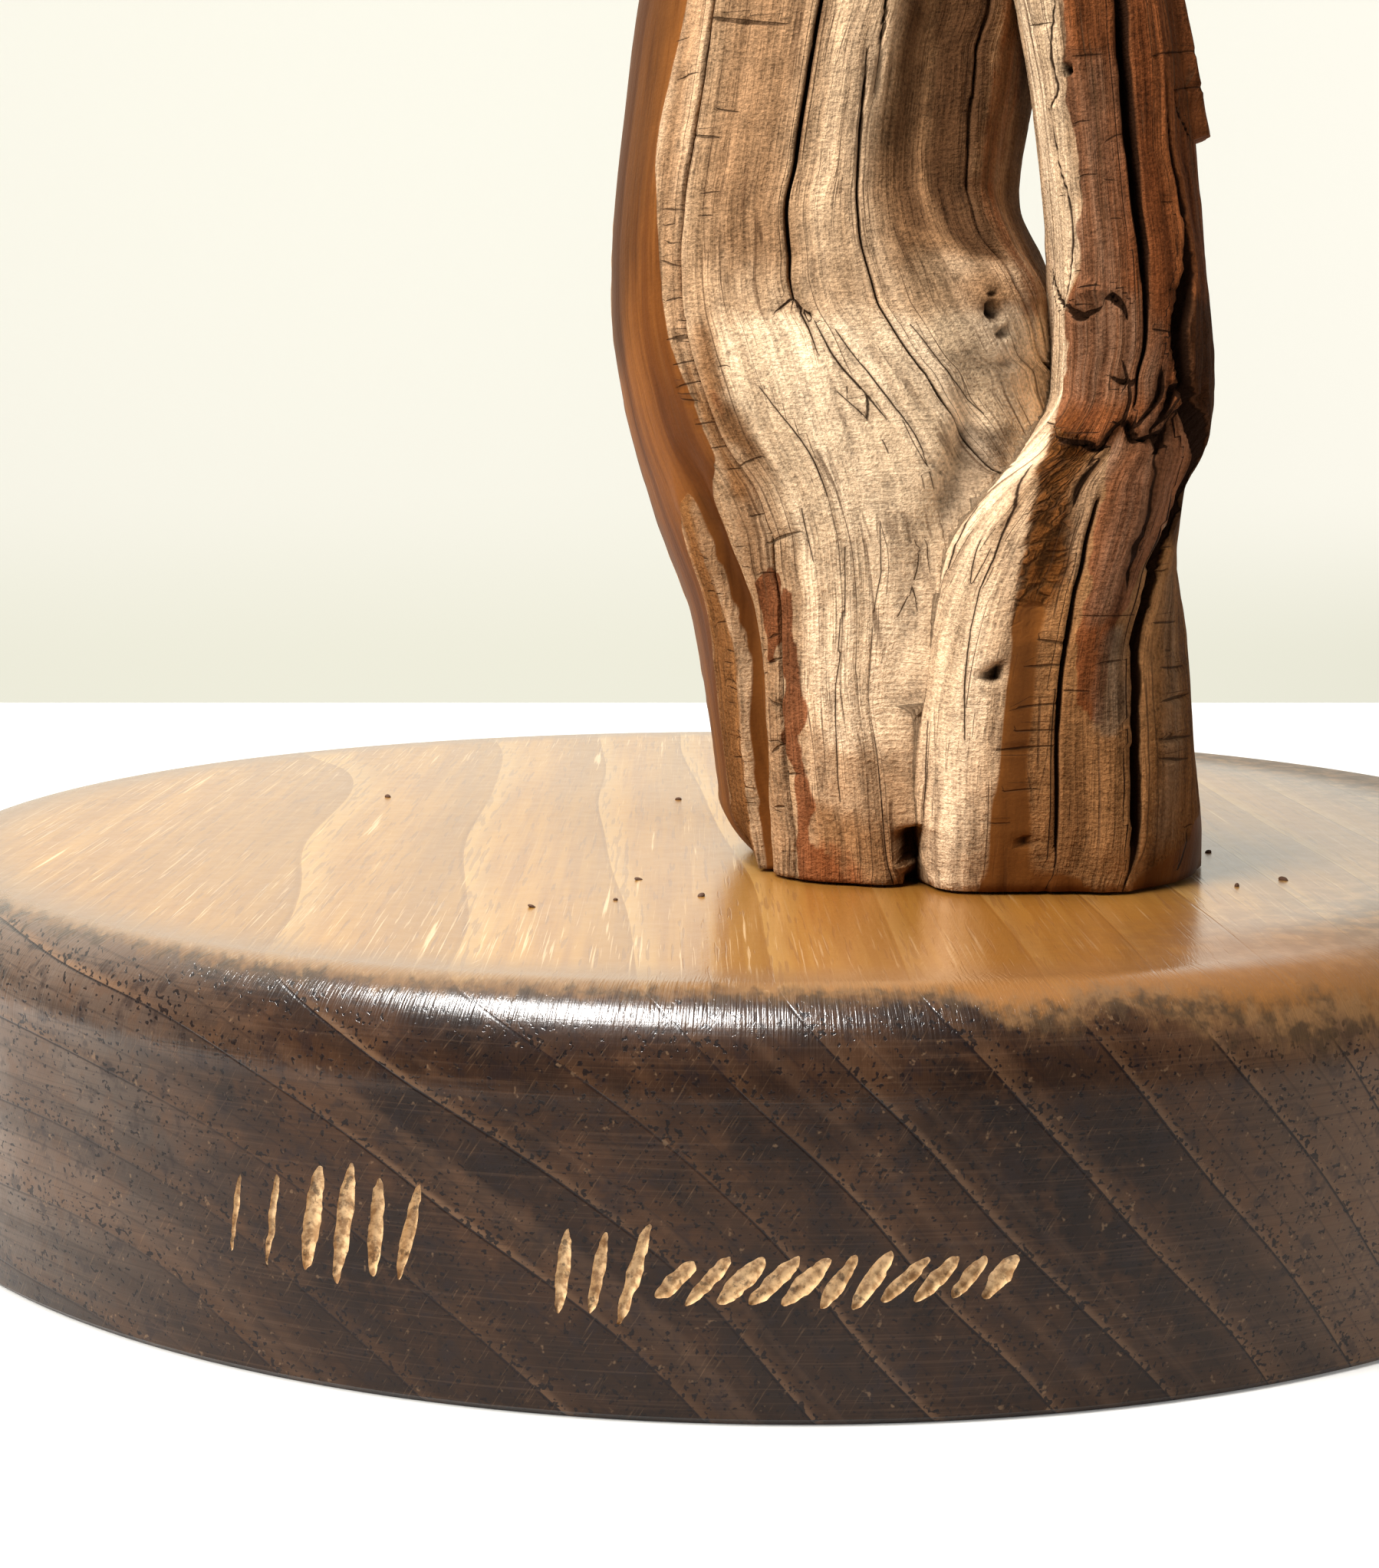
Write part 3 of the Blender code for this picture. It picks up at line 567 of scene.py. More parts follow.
         (34, 141), (37, 146), (42.5, 128)], 15.3, 42.4, 0.9, 0.4),
        ("grey", [(15, 99), (22, 97), (27.1, 99.6), (34.2, 97.6), (39, 82)], [(15, 110), (22, 113),
         (28, 122), (34, 141), (42.5, 128)], 24, 42, 0.28, 1.4),
        # a painted highlight: the light lip along the plate's right edge
        ("grey", [(27.5, 125.2), (31, 132.4), (34, 142.2), (37, 147.2), (40, 135.8), (42, 121.8),
         (44, 114)], [(27.5, 126.5), (31, 133.7), (34, 143.4), (37, 148.5), (40, 137), (42, 123),
         (44, 115.2)], 27, 43.5, 1.6, 0.12),
        ("grey", [(14.5, 102), (20, 103), (23.5, 106)], [(14.5, 110), (20, 112), (23.5, 113)],
         14.5, 23.5, 0.85, 0.7),
        ("dark", [(14.5, 98), (20, 99.5), (23.5, 104)], [(14.5, 110), (20, 112), (23.5, 113)],
         15, 23, 0.5, 1.2),
        ("grey", [(29, 93), (34, 84), (38, 78)], [(29, 98), (34, 97), (38, 92)], 27, 40, 0.55, 1.0),
        ("pale", [(-1, 20), (30, 20), (38, 20)], [(0, 71), (4, 74), (11, 77), (18, 78), (25, 75.5),
         (30, 71), (34, 64), (37, 52), (41, 32)], -9, 40.5, 0.62, (3.0, 1.6)),
        ("brown", [(11, 20), (20, 20)], [(11, 55), (20, 54)], 11, 22, 0.4, 2.6),
        ("brown", [(0, 20), (16, 30)], [(0, 75), (16, 74)], -9, 12, 0.42, (2.0, 4.0)),
        ("grey", [(5, 62), (20, 60), (30, 52)], [(5, 72), (20, 73), (30, 66)], 4, 32, 0.3, 1.6),
        ("dark", [(31, 136), (36, 140), (40, 128), (44, 112), (49, 110), (53, 108)], [(31, 150),
         (37, 175), (44, 178), (53, 176)], 31, 52, 0.92, 0.8),
        ("brown", [(0, 110), (30, 132)], [(0, 215), (30, 215)], -9, 32, 1.0, 0.8),
        ("grey", [(0, 118), (30, 136)], [(0, 132), (30, 150)], 4, 28, 0.35, 1.2),
        # sanded facets along the foot
        ("red", [(0, 76), (3, 80)], [(0, 93), (0.9, 92), (1.5, 90)], -9, 1.2, 0.9, 0.3),
        ("polish", [(0, 88), (1.9, 92)], [(0, 99), (1.9, 95)], -9, 1.9, 0.9, 0.25),
        ("polish", [(0, 112), (1.6, 115.6), (3.0, 132), (4.0, 146)], [(0, 180), (9, 180)],
         -9, 5.5, 0.95, 0.4),
        ("dark", [(0, 112), (2.3, 124.9), (5.0, 138)], [(0, 180), (9, 180)], -9, 4.0, 0.4, 0.6),
    ],
}

woodMesh = {
    "seat": (18.0, -26.0),  # where the foot's own middle stands on the base
    "frontStep": 0.42, "backStep": 1.15, "railStep": 0.15, "railReach": 0.75,  # spacing of columns, mm
    "rowStep": 0.44, "topRowStep": 1.15, "fineBelow": 81.0,  # spacing of rows, mm
    "taper": 8.0,  # over which a swell comes in and goes out along the stem
    # the broken end: its reach, its hollow, the splinters' bend and depth, and the rings of its cap
    "tipReach": 22.0, "tipHollow": 2.5, "tipBend": 6, "tipDepth": 1.2, "capRings": (0.8, 0.6, 0.4, 0.2),
    "capRough": 1.1,
    # unevenness of the surface: height everywhere, height off the polish, stretch along the grain, grain size
    "unevenness": [
        (0, 0.17, 1 / 26, 1.7), (0, 0.10, 1 / 14, 0.85), (0.25, 0.3, 0.45, 6.0), (0, 0.09, 0.6, 0.95),
    ],
    "skinRise": 0.2, "tornRise": 0.4,  # how far the red wood and the torn fibres stand out
    # where the limb grows out of the trunk: smoothed below, left as a fold above
    "foldLow": 16.0, "foldHigh": 40.0, "foldReach": 2.8, "foldSpan": 1.4, "foldPasses": 8,
    # splinters gone from the foot: from x, to x, height, depth
    "notches": [(-7.3, -4.1, 4.9, 0.7), (-6.4, -5.1, 5.2, 3.4)],
}


# Positions from low to high whose gaps follow spacingAt, without the last
def unevenSteps(low, high, spacingAt):
    fine = np.linspace(low, high, 6000)
    middle = (fine[1:] + fine[:-1]) / 2
    count = np.concatenate([[0], np.cumsum(np.diff(fine) / spacingAt(middle))])
    total = int(round(count[-1]))
    return np.interp(np.arange(total) * count[-1] / total, count, fine)


# A stem's plain rings: rows of heights by columns of angles, with each point's arc length round its ring
def layChart(form):
    size = woodMesh
    stations = np.array(form["stations"], float)
    top = stations[-1, 0]
    radius = float(np.mean((stations[:, 2] - stations[:, 1] + stations[:, 4] - stations[:, 3]) / 4))
    nominalRails = np.radians([nominal for nominal, _ in form["rails"]])

    def columnSpacing(angle):
        inFront = ease(np.cos(angle - math.pi / 2), -0.12, 0.12)
        spacing = size["backStep"] + (size["frontStep"] - size["backStep"]) * inFront
        for rail in nominalRails:
            close = np.exp(-((angle - rail) * radius / size["railReach"]) ** 2)
            spacing = spacing + (size["railStep"] - spacing) * close
        return spacing / radius

    columns = unevenSteps(0, fullTurn, columnSpacing)
    for rail in nominalRails:
        columns[np.argmin(abs(columns - rail))] = rail

    def rowSpacing(height):
        above = ease(height, size["fineBelow"], size["fineBelow"] + 6)
        return size["rowStep"] + (size["topRowStep"] - size["rowStep"]) * above

    rows = np.append(unevenSteps(0, top, rowSpacing), top)
    railAngles = np.radians([readTable(path, rows)[:, 0] for _, path in form["rails"]])
    angles = np.empty((len(rows), len(columns)))
    for row in range(len(rows)):
        angles[row] = np.interp(columns, [0, *nominalRails, fullTurn], [0, *railAngles[:, row], fullTurn])
    left, right, front, back, squareness = readTable(stations, rows).T[:, :, None]
    across, deep = np.cos(angles), np.sin(angles)
    x = (left + right) / 2 - (right - left) / 2 * np.sign(across) * np.abs(across) ** squareness
    y = (front + back) / 2 - (back - front) / 2 * np.sign(deep) * np.abs(deep) ** squareness
    ring = np.stack([x, y], axis=-1)
    tangent = np.roll(ring, -1, axis=1) - np.roll(ring, 1, axis=1)
    tangent /= np.linalg.norm(tangent, axis=-1, keepdims=True)
    gaps = np.linalg.norm(np.diff(ring, axis=1), axis=-1)
    around = np.concatenate([np.zeros((len(rows), 1)), np.cumsum(gaps, axis=1)], axis=1)
    height = np.broadcast_to(rows[:, None], angles.shape)
    tube = [np.broadcast_to(radius * part, angles.shape) for part in (np.cos(columns), np.sin(columns))]
    return {
        "rows": rows, "columns": columns, "angles": angles, "degrees": np.degrees(angles), "height": height,
        "ring": ring, "outward": np.stack([tangent[..., 1], -tangent[..., 0]], axis=-1), "around": around,
        "grain": np.stack([*tube, height], axis=-1), "radius": (right - left + back - front) / 4, "top": top,
    }


# Arc length round the ring at given heights and angles
def aroundAt(chart, heights, angles):
    rows = np.interp(heights, chart["rows"], np.arange(len(chart["rows"])))
    low = np.clip(np.floor(rows).astype(int), 0, len(chart["rows"]) - 2)
    found = np.empty(len(heights))
    for n, row in enumerate(low):
        below, above = (np.interp(angles[n], chart["angles"][k], chart["around"][k]) for k in (row, row + 1))
        found[n] = below + (rows[n] - row) * (above - below)
    return found


# A path of (height, degrees) as a smooth line of (arc length, height), a little unsteady
def chartLine(chart, path, wander, seed, step=0.9):
    points = np.array(path, float)
    lengths = np.concatenate([[0], np.cumsum(np.hypot(*(np.diff(points, axis=0) * (1, 0.3)).T))])
    at = np.linspace(0, lengths[-1], max(3, int(lengths[-1] / step)))
    smooth = readTable(np.column_stack([lengths, points]), at)
    around = aroundAt(chart, smooth[:, 0], np.radians(smooth[:, 1]))
    line = np.column_stack([around, smooth[:, 0]])
    shake = [softNoise(np.column_stack([at, at * 0 + n, at * 0]), 1.7, seed) for n in (0.3, 7.3)]
    return line + wander * np.stack(shake, -1) * (1, 0.6)


# Which points lie near a line, how far to its side, and how far along it
def apart(chart, line, reach):
    low, high = line.min(0) - reach, line.max(0) + reach
    around, height = chart["around"], chart["height"]
    near = (around > low[0]) & (around < high[0]) & (height > low[1]) & (height < high[1])
    spots = np.column_stack([around[near], height[near]])
    best, side, share = np.full(len(spots), 1e9), np.ones(len(spots)), np.zeros(len(spots))
    for n in range(len(line) - 1):
        run = line[n + 1] - line[n]
        t = np.clip(((spots - line[n]) @ run) / max(run @ run, 1e-9), 0, 1)
        off = spots - line[n] - t[:, None] * run
        distance = np.hypot(off[:, 0], off[:, 1])
        closer = distance < best
        best[closer], share[closer] = distance[closer], (n + t[closer]) / (len(line) - 1)
        side[closer] = np.where(run[0] * off[closer, 1] - run[1] * off[closer, 0] < 0, 1, -1)
    return near, best, side, share


# How splits and pits are cut, in millimetres, and in shares of their own size where they are pits
markShape = {
    "reach": 1.3, "noted": 0.7, "shared": 0.3, "hairline": 0.16, "shallowHairline": 0.2, "endTaper": 0.06,
    "lipAt": 0.25, "lipWidth": 0.3, "lipRise": 0.07,
    "bowl": (0.55, 1.25), "bowlRough": 0.12, "rimAt": 1.35, "rimWidth": 0.3, "rimRise": 0.12,
}


# Cuts a split into the surface, and notes how far each point is from it and how wide it is there
def cutSplit(chart, surface, line, widths, depth, family="split"):
    size = markShape
    near, distance, side, share = apart(chart, line, max(widths) / 2 + size["reach"])
    width = np.interp(share, np.linspace(0, 1, len(widths)), widths)
    width = width * np.sqrt(np.clip(np.minimum(share, 1 - share) / size["endTaper"] + 0.05, 0, 1))
    half = np.maximum(width / 2, size["shallowHairline"] if depth < 1 else size["hairline"])
    lip = size["lipRise"] * np.exp(-((distance - (half + size["lipAt"])) / size["lipWidth"]) ** 2)
    groove = np.clip(1 - distance / half, 0, 1) ** (0.65 if depth > 1 else 1.2)
    deepness = depth * np.clip(width / max(widths), 0.1, 1) ** 0.6
    surface["raised"][near] += lip * np.clip(width / size["lipWidth"], 0, 1) - deepness * groove
    score = distance - width / 2
    shared = (abs(score - surface[family + "Score"][near]) < size["shared"]) & (score < size["noted"])
    # where two splits meet, their sides agree
    side = side * (-1 if (side * surface[family + "Apart"][near])[shared].sum() < 0 else 1)
    better = (score < surface[family + "Score"][near]) & (score < size["noted"])
    spots = np.flatnonzero(near)[better]
    surface[family + "Score"].flat[spots] = score[better]
    surface[family + "Apart"].flat[spots] = (distance * side)[better]
    surface[family + "Half"].flat[spots] = (width / 2 * np.clip((0.75 - score) / 0.2, 0, 1))[better]


# Round or oval pits, and knobs where the depth is negative
def sinkPit(chart, surface, height, degrees, halfHeight, halfWidth, depth, turn):
    size = markShape
    middle = aroundAt(chart, np.array([height]), np.radians([degrees]))[0]
    cosine, sine = math.cos(math.radians(turn)), math.sin(math.radians(turn))
    dx, dy = chart["around"] - middle, chart["height"] - height
    u = (dx * cosine + dy * sine) / halfWidth
    v = (dy * cosine - dx * sine) / halfHeight
    out = np.hypot(u, v)
    bowl = 1 - ease(out + size["bowlRough"] * softNoise(chart["grain"], 0.9, 5), *size["bowl"])
    surface["raised"] -= depth * bowl
    if depth > 0:
        # painted shade: the pit's bowl is marked to go nearly black in the material
        surface["pit"] = np.maximum(surface["pit"], np.clip(depth / 0.9, 0.3, 1) * ease(bowl, 0.15, 0.8))
        rim = np.exp(-((out - size["rimAt"]) / size["rimWidth"]) ** 2)
        surface["raised"] += size["rimRise"] * min(depth, 1) * rim


# The form's own swells and flakes, as on the CAD solid
def swellsOf(chart, form):
    raised = np.zeros(chart["angles"].shape)
    for path, halfWidth, rise, low, high in form["swells"]:
        centre = np.radians(readTable(path, chart["rows"])[:, :1])
        away = (chart["angles"] - centre + math.pi) % fullTurn - math.pi
        bell = np.exp(-((away * chart["radius"] / halfWidth) ** 2))
        reach = np.minimum(chart["height"] - low, high - chart["height"]) / woodMesh["taper"]
        raised += rise * np.clip(reach, 0, 1) * bell
    for first, last, low, high, thickness in form["flakes"]:
        over = np.clip((high - chart["height"]) / (high - low), 0, 1) * (chart["height"] > low)
        inside = ease(chart["degrees"], first - 3, first) * ease(-chart["degrees"], -last - 3, -last)
        raised += thickness * over * inside
    return raised


# How strongly each tint shows at each point
def layTints(chart, form):
    names = ("polish", "red", "pale", "dark", "fibre", "grey", "brown")
    tints = {name: np.zeros(chart["angles"].shape) for name in names}
    rows = np.arange(len(chart["rows"]))
    ragged = 0.4 * softNoise(chart["grain"], 1.6, 71)
    ragged += 0.25 * softNoise(chart["grain"] * (1, 1, 0.5), 0.6, 72)
    for name, leftPath, rightPath, low, high, strength, softness in form["patches"]:
        soft = softness if isinstance(softness, tuple) else (softness, softness)
        sides = []
        for path in (leftPath, rightPath):
            degrees = readTable(path, chart["rows"])[:, 0]
            at = [np.interp(math.radians(degrees[n]), chart["angles"][n], chart["around"][n]) for n in rows]
            sides.append(np.where(degrees < -5, -1e3, np.array(at))[:, None])
        shake = ragged * (0 if name == "polish" else 1)
        inside = ease(chart["around"] - sides[0] + shake, -soft[0], soft[0])
        inside = inside * ease(sides[1] - chart["around"] + shake, -soft[1], soft[1])
        inside = inside * ease(chart["height"] + 2 * ragged, low - soft[1], low + soft[1])
        inside = inside * ease(2 * ragged - chart["height"], -high - soft[1], -high + soft[1])
        tints[name] = np.maximum(tints[name], strength * inside)
    return tints


# The whole surface of a stem: where it stands out of its rings, and what its material reads
def layStem(form, seed):
    chart = layChart(form)
    shape = chart["angles"].shape
    surface = {"raised": swellsOf(chart, form), "pit": np.zeros(shape)}
    for family in ("split", "check"):
        surface.update({family + "Score": np.full(shape, 9.0), family + "Apart": np.full(shape, 9.0),
                        family + "Half": np.zeros(shape)})
    tints = layTints(chart, form)
    smooth = 1 - 0.85 * tints["polish"]
    for n, (always, offPolish, stretch, cell) in enumerate(woodMesh["unevenness"], 1):
        noise = softNoise(chart["grain"] * (1, 1, stretch), cell, seed + n)
        surface["raised"] += (always + offPolish * smooth) * noise
    surface["raised"] += woodMesh["skinRise"] * tints["red"]  # the red wood is what is left of an outer skin
    torn = softNoise(chart["grain"] * (1, 1, 0.6), 1.1, seed + 5)
    surface["raised"] += tints["fibre"] * woodMesh["tornRise"] * torn
    for n, (path, widths, depth, wander) in enumerate(form["splits"]):
        widths = [width * form["splitWidth"] for width in widths]
        cutSplit(chart, surface, chartLine(chart, path, wander, seed + n), widths, depth)
    chance = np.random.default_rng(seed)
    checks = [tuple(check) for check in form["checks"]]
    for first, last, low, high, count in form["randomChecks"]:
        for _ in range(count):
            start = chance.uniform(first, last - 4)
            checks.append((chance.uniform(low, high), start, chance.uniform(start + 3, last),
                           chance.uniform(0.06, 0.14), chance.uniform(-0.3, 0.3)))
    for n, (height, first, last, width, rise) in enumerate(checks):
        path = [(height, first), (height + rise * 0.6, (first + last) / 2), (height + rise, last)]
        line = chartLine(chart, path, 0.07, seed + 300 + n, step=0.6)
        cutSplit(chart, surface, line, (width * 0.6, width, width * 0.4), min(2.2 * width, 0.5), "check")
    for pit in form["pits"]:
        sinkPit(chart, surface, *pit)
    if "tornEdge" in form:
        path, back, reach = form["tornEdge"]
        angles, heights = np.array(path).T
        degrees, first, last = chart["degrees"], angles[0], angles[-1]
        rough = 0.55 * softNoise(chart["grain"] * (1, 1, 0), 0.8, seed + 6)
        rough += 0.4 * softNoise(chart["grain"] * (1, 1, 0), 0.35, seed + 8)
        below = np.interp(degrees, angles, heights) + rough - chart["height"]
        across = ease(degrees, first, first + 8) * ease(-degrees, -last, 8 - last)
        surface["raised"] -= back * across * ease(below, -0.15, 0.15) * np.exp(-np.maximum(below, 0) / reach)
    inward, tall, until = form["footRound"]
    share = np.clip(1 - chart["height"] / tall, 0, 1) ** 2
    turned = (chart["degrees"] + 120) % 360 - 120
    surface["raised"] -= inward * share * ease(until - turned, 0, 14) * ease(turned, -100, -60)
    return chart, surface, tints


# The stem as a closed mesh, flat below and broken off in splinters above
def stemObject(name, form, seed):
    size, cap = woodMesh, len(woodMesh["capRings"])
    chart, surface, tints = layStem(form, seed)
    rows, columns = chart["angles"].shape
    lobes = np.interp(chart["columns"], np.linspace(0, fullTurn, len(form["brokenEnd"]) + 1),
                      [*form["brokenEnd"], form["brokenEnd"][0]])
    splinters = softNoise(chart["grain"][-1] * (1, 1, 0), 2.2, seed + 40)
    nearTip = np.clip((chart["height"] - chart["top"] + size["tipReach"]) / size["tipReach"], 0, 1)
    splintered = nearTip ** size["tipBend"] * size["tipDepth"] * (splinters + 1)
    places = np.empty((rows, columns, 3))
    places[..., :2] = chart["ring"] + chart["outward"] * surface["raised"][..., None]
    places[..., 2] = chart["height"] + nearTip * lobes - splintered
    middle = places[-1].mean(0) - (0, 0, size["tipHollow"])
    inner = []
    for n, share in enumerate(size["capRings"]):
        step = middle + (places[-1] - middle) * share
        rough = 1 + softNoise(step, 1.4, seed + 50 + n)
        step[:, 2] -= size["capRough"] * rough * math.sin(share * math.pi)
        inner.append(step)
    foot = np.append(places[0, :, :2].mean(0), 0.0)
    points = np.vstack([places.reshape(-1, 3), *inner, foot, middle - (0, 0, 1.0)])
    grid = np.arange((rows + cap) * columns).reshape(rows + cap, columns)
    beside = np.roll(grid, -1, axis=1)
    quads = np.stack([grid[:-1], beside[:-1], beside[1:], grid[1:]], axis=-1).reshape(-1, 4)
    footFan = np.stack([beside[0], grid[0], np.full(columns, len(points) - 2)], axis=-1)
    tipFan = np.stack([grid[-1], beside[-1], np.full(columns, len(points) - 1)], axis=-1)
    mesh = bpy.data.meshes.new(name)
    mesh.from_pydata((points * mm).tolist(), [], quads.tolist() + footFan.tolist() + tipFan.tolist())

    def spread(values):  # one value for every vertex, the tip's taken from its rim
        rim = np.broadcast_to(values[-1], (cap, *values[-1].shape)).reshape(-1, *values.shape[2:])
        ends = values[[0, -1], 0]
        return np.concatenate([values.reshape(-1, *values.shape[2:]), rim, ends])

    layers = {
        # the two stems' grain runs on over the seam at the foot
        "grain": chart["grain"] + form["grainShift"],
        "splitField": np.stack([surface["splitApart"], surface["splitHalf"], surface["pit"]], -1),
        "checkField": np.stack([surface["checkApart"], surface["checkHalf"], tints["grey"]], -1),
        "tintA": np.stack([tints["polish"], tints["red"], tints["pale"]], -1),
        "tintB": np.stack([tints["dark"], tints["fibre"], tints["brown"]], -1),
        "stem": np.broadcast_to(float(seed), (*chart["angles"].shape, 3)),
    }
    for layer, values in layers.items():
        writeLayer(mesh, layer, spread(values))
    print(name, "laid:", rows, "rows by", columns, "columns")
    return placed(name, mesh)


def pointTree(spots):
    tree = KDTree(len(spots))
    for n, spot in enumerate(spots):
        tree.insert(spot, n)
    tree.balance()
    return tree


# Smooths the fold where the two stems meet, near the foot, so that they read as one piece of wood
def softenFold(mesh, places, stem):
    size = woodMesh
    ends = np.empty(len(mesh.edges) * 2, int)
    mesh.edges.foreach_get("vertices", ends)
    ends = ends.reshape(-1, 2)
    crossing = abs(stem[ends[:, 0]] - stem[ends[:, 1]]) > 0.01
    seam = np.unique(ends[crossing])
    tree = pointTree(places[seam])
    gap = np.array([tree.find(spot)[2] for spot in places])
    low, high = size["foldLow"], size["foldHigh"]
    weight = np.exp(-(gap / size["foldReach"]) ** 2) * ease(high - places[:, 2], 0, high - low)
    weight *= ease(places[:, 2], 0.0, 2.0)
    moving = np.flatnonzero(weight > 0.02)
    weight = weight[moving, None]
    tree = pointTree(places[moving])
    beside = [[n for _, n, _ in tree.find_range(spot, size["foldSpan"])] for spot in places[moving]]
    count = np.array([len(group) for group in beside])
    starts = np.cumsum(count) - count
    beside = np.concatenate(beside)
    layers = {name: readLayer(mesh, name) for name in ("tintA", "tintB", "checkField", "splitField")}
    for name in ("checkField", "splitField"):  # far from any mark counts as just beyond it
        layers[name][:, 0] = np.clip(layers[name][:, 0], -1.5, 1.5)

    def towardsMean(values):
        here = values[moving]
        return (np.add.reduceat(here[beside], starts) / count[:, None] - here) * weight

    for _ in range(size["foldPasses"]):
        places[moving] += towardsMean(places)
        for name in ("tintA", "tintB"):
            layers[name][moving] += towardsMean(layers[name])
    for name, values in layers.items():
        writeLayer(mesh, name, values)
    print("fold softened round", len(seam), "points")
    return places


# Takes the splinters out of the foot, and paints shade into the deep one
def cutNotches(mesh, places):
    tintB = readLayer(mesh, "tintB")
    for first, last, tall, depth in woodMesh["notches"]:
        x, y, z = places.T
        inside = ease(x, first - 0.1, first + 0.1) * ease(-x, -last - 0.1, 0.1 - last)
        inside = np.where(y < 0, inside * ease(-z, -tall - 0.15, 0.15 - tall), 0)
        places[:, 1] += depth * inside
        if depth > 1:
            tintB[:, 0] = np.maximum(tintB[:, 0], inside)
    writeLayer(mesh, "tintB", tintB)
    return places


def buildDriftwood():
    trunk = stemObject("driftwood_grown", trunkForm, 3)
    limb = stemObject("limbToJoin", limbForm, 7)
    combine(trunk, limb, operation="UNION", solver="MANIFOLD")
    mesh = trunk.data
    mesh.shade_smooth()
    places = softenFold(mesh, readLayer(mesh, "position") / mm, readLayer(mesh, "stem")[:, 0])
    places = cutNotches(mesh, places) * mm
    mesh.attributes.remove(mesh.attributes["stem"])
    seat = np.array([*woodMesh["seat"], 0.0]) * mm + (0, 0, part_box("driftwood")[0].z)
    mesh.vertices.foreach_set("co", (places + seat).ravel())
    mesh.update()
    triangles = sum(len(face.vertices) - 2 for face in mesh.polygons)
    print("joined:", len(mesh.vertices), "vertices,", triangles, "triangles")
    return trunk


